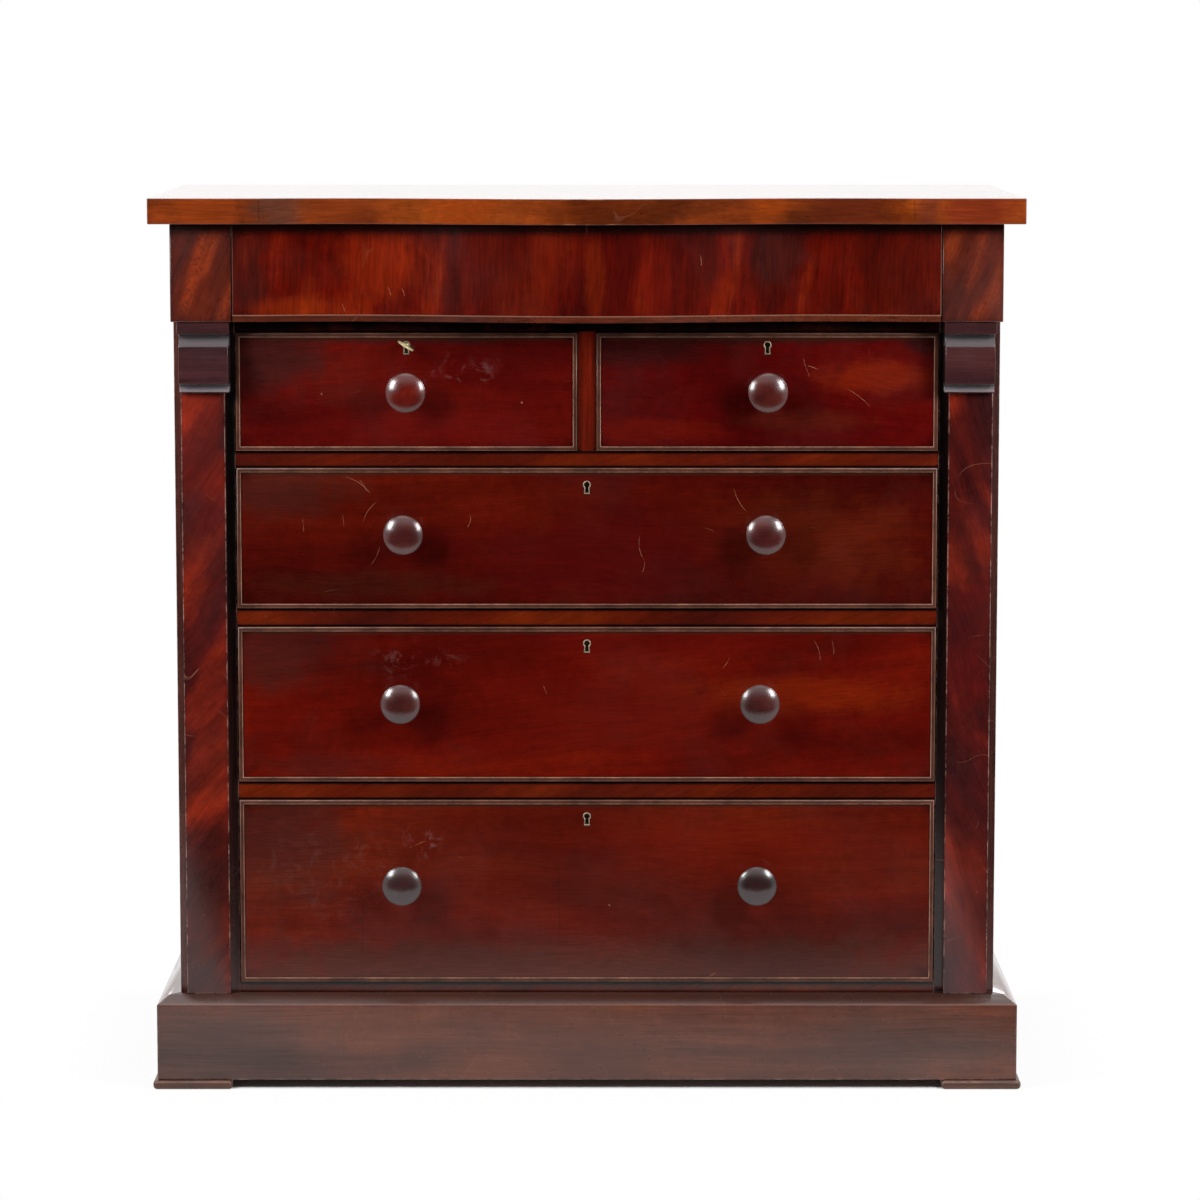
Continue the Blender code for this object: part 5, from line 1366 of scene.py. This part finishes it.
# Studio: pale floor, white surround, two tall soft lights in front, one above and one behind
studio = {
    "floorSize": 12.0, "floorFront": -0.92, "floorColour": (0.86, 0.86, 0.86), "floorGlow": 0.92, "floorShine": 0.7,
    "shadowFade": 0.016, "openFade": 0.20,  # how far in and out from the footprint the floor's glow changes
    "ambient": 0.15, "frontDark": 0.004, "backGlow": 1.08, "frontGlow": 1.0, "skyGlow": 2.2, "sideGlow": 0.9,
    # where each glow of the surround starts and is full, as a direction's share
    "backLimits": (-0.55, -0.05), "frontLimits": (0.30, 0.70), "skyLimits": (0.70, 0.95),
    "sideLimits": (0.62, 0.98),
}
lamps = {  # place, size across and up, power, the point aimed at
    "softbox_left": ((-1.8, -1.5, 1.75), (0.65, 1.00), 50.0, (0, 0, 0.65)),
    "softbox_right": ((1.8, -1.5, 1.75), (0.65, 1.00), 50.0, (0, 0, 0.65)),
    "softbox_above": ((0.0, -0.9, 4.2), (2.6, 1.4), 30.0, (0, 0, 0.9)),
    "softbox_behind": ((0.0, 3.6, 3.2), (3.0, 1.6), 60.0, (0, 0.3, 0.5)),
}
camera = {"place": (0.0111, -6.316, 1.4444), "pitchDown": 7.131, "lens": 135.0, "sensor": 36.0, "shiftX": 5 / 1200}


def makeFloor():
    half = studio["floorSize"] / 2
    corners = [(-half, studio["floorFront"], 0), (half, studio["floorFront"], 0), (half, half, 0), (-half, half, 0)]
    mesh = bpy.data.meshes.new("studio_floor")
    mesh.from_pydata(corners, [], [(0, 1, 2, 3)])
    floor = addObject("studio_floor", mesh)
    material, tree, shader = openMaterial("paleFloor")
    tree.nodes.clear()
    matt = addNode(tree, "ShaderNodeBsdfDiffuse", {"Color": rgba(studio["floorColour"])}).outputs[0]
    white = addNode(tree, "ShaderNodeEmission", {"Color": (1, 1, 1, 1), "Strength": 1.0}).outputs[0]
    ray = addNode(tree, "ShaderNodeLightPath").outputs
    place = addNode(tree, "ShaderNodeTexCoord").outputs["Object"]
    padLow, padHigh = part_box("foot_front_left")[0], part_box("foot_rear_right")[1]
    middle = (padLow + padHigh) / 2
    padHalf = (padHigh - padLow) / 2
    away = vectorMaths(tree, "ABSOLUTE", vectorMaths(tree, "SUBTRACT", place, (middle.x, middle.y, 0)), (0, 0, 0))
    out = splitXyz(tree, vectorMaths(tree, "SUBTRACT", away, (padHalf.x, padHalf.y, 0)))
    reach = maths(tree, "MAXIMUM", out[0], out[1])  # how far outside the chest's own footprint
    under = remap(tree, reach, -studio["shadowFade"], 0.0, 0.0, studio["floorGlow"], "SMOOTHSTEP")
    beyond = remap(tree, reach, 0.0, studio["openFade"], 0.0, 1.0 - studio["floorGlow"], "SMOOTHSTEP")
    seen = maths(tree, "MAXIMUM", ray["Is Camera Ray"], times(tree, ray["Is Glossy Ray"], studio["floorShine"]))
    glow = times(tree, seen, maths(tree, "ADD", under, beyond))
    mixed = addNode(tree, "ShaderNodeMixShader", {0: glow, 1: matt, 2: white}).outputs[0]
    addNode(tree, "ShaderNodeOutputMaterial", {"Surface": mixed})
    mesh.materials.append(material)


def makeWorld():
    world = bpy.data.worlds.new("studio")
    bpy.context.scene.world = world
    world.use_nodes = True
    tree = world.node_tree
    tree.nodes.clear()
    ray = addNode(tree, "ShaderNodeLightPath").outputs
    x, y, z = splitXyz(tree, addNode(tree, "ShaderNodeTexCoord").outputs["Generated"])
    side = remap(tree, y, *studio["backLimits"], studio["frontDark"], studio["backGlow"], "SMOOTHSTEP")
    low = remap(tree, z, *studio["frontLimits"], 0.0, studio["frontGlow"], "SMOOTHSTEP")
    high = remap(tree, z, *studio["skyLimits"], 0.0, studio["skyGlow"], "SMOOTHSTEP")
    side = maths(tree, "MAXIMUM", side, maths(tree, "MAXIMUM", low, high))
    wide = remap(tree, maths(tree, "ABSOLUTE", x), *studio["sideLimits"], 0.0, studio["sideGlow"], "SMOOTHSTEP")
    side = maths(tree, "MAXIMUM", side, wide)
    ambient = studio["ambient"]
    level = times(tree, ray["Is Glossy Ray"], maths(tree, "SUBTRACT", side, ambient))
    level = maths(tree, "ADD", level, ambient)
    seen = maths(tree, "MAXIMUM", ray["Is Camera Ray"], ray["Is Transmission Ray"])
    strength = maths(tree, "MAXIMUM", level, seen)
    background = addNode(tree, "ShaderNodeBackground", {"Color": (1, 1, 1, 1), "Strength": strength}).outputs[0]
    addNode(tree, "ShaderNodeOutputWorld", {"Surface": background})


def makeLights():
    for name, (place, size, power, aim) in lamps.items():
        light = bpy.data.lights.new(name, "AREA")
        light.shape = "RECTANGLE"
        light.size, light.size_y = size
        light.energy = power
        holder = addObject(name, light)
        holder.location = place
        holder.rotation_euler = (Vector(aim) - Vector(place)).to_track_quat("-Z", "Y").to_euler()
        holder.visible_camera = False


def makeCamera():
    data = bpy.data.cameras.new("photo_camera")
    data.lens = camera["lens"]
    data.sensor_width = camera["sensor"]
    data.shift_x = camera["shiftX"]
    holder = addObject("photo_camera", data)
    holder.location = camera["place"]
    holder.rotation_euler = (math.radians(90 - camera["pitchDown"]), 0, 0)
    bpy.context.scene.camera = holder


makeFloor()
makeWorld()
makeLights()
makeCamera()
bpy.context.scene.view_settings.view_transform = "Standard"
print("studio made")
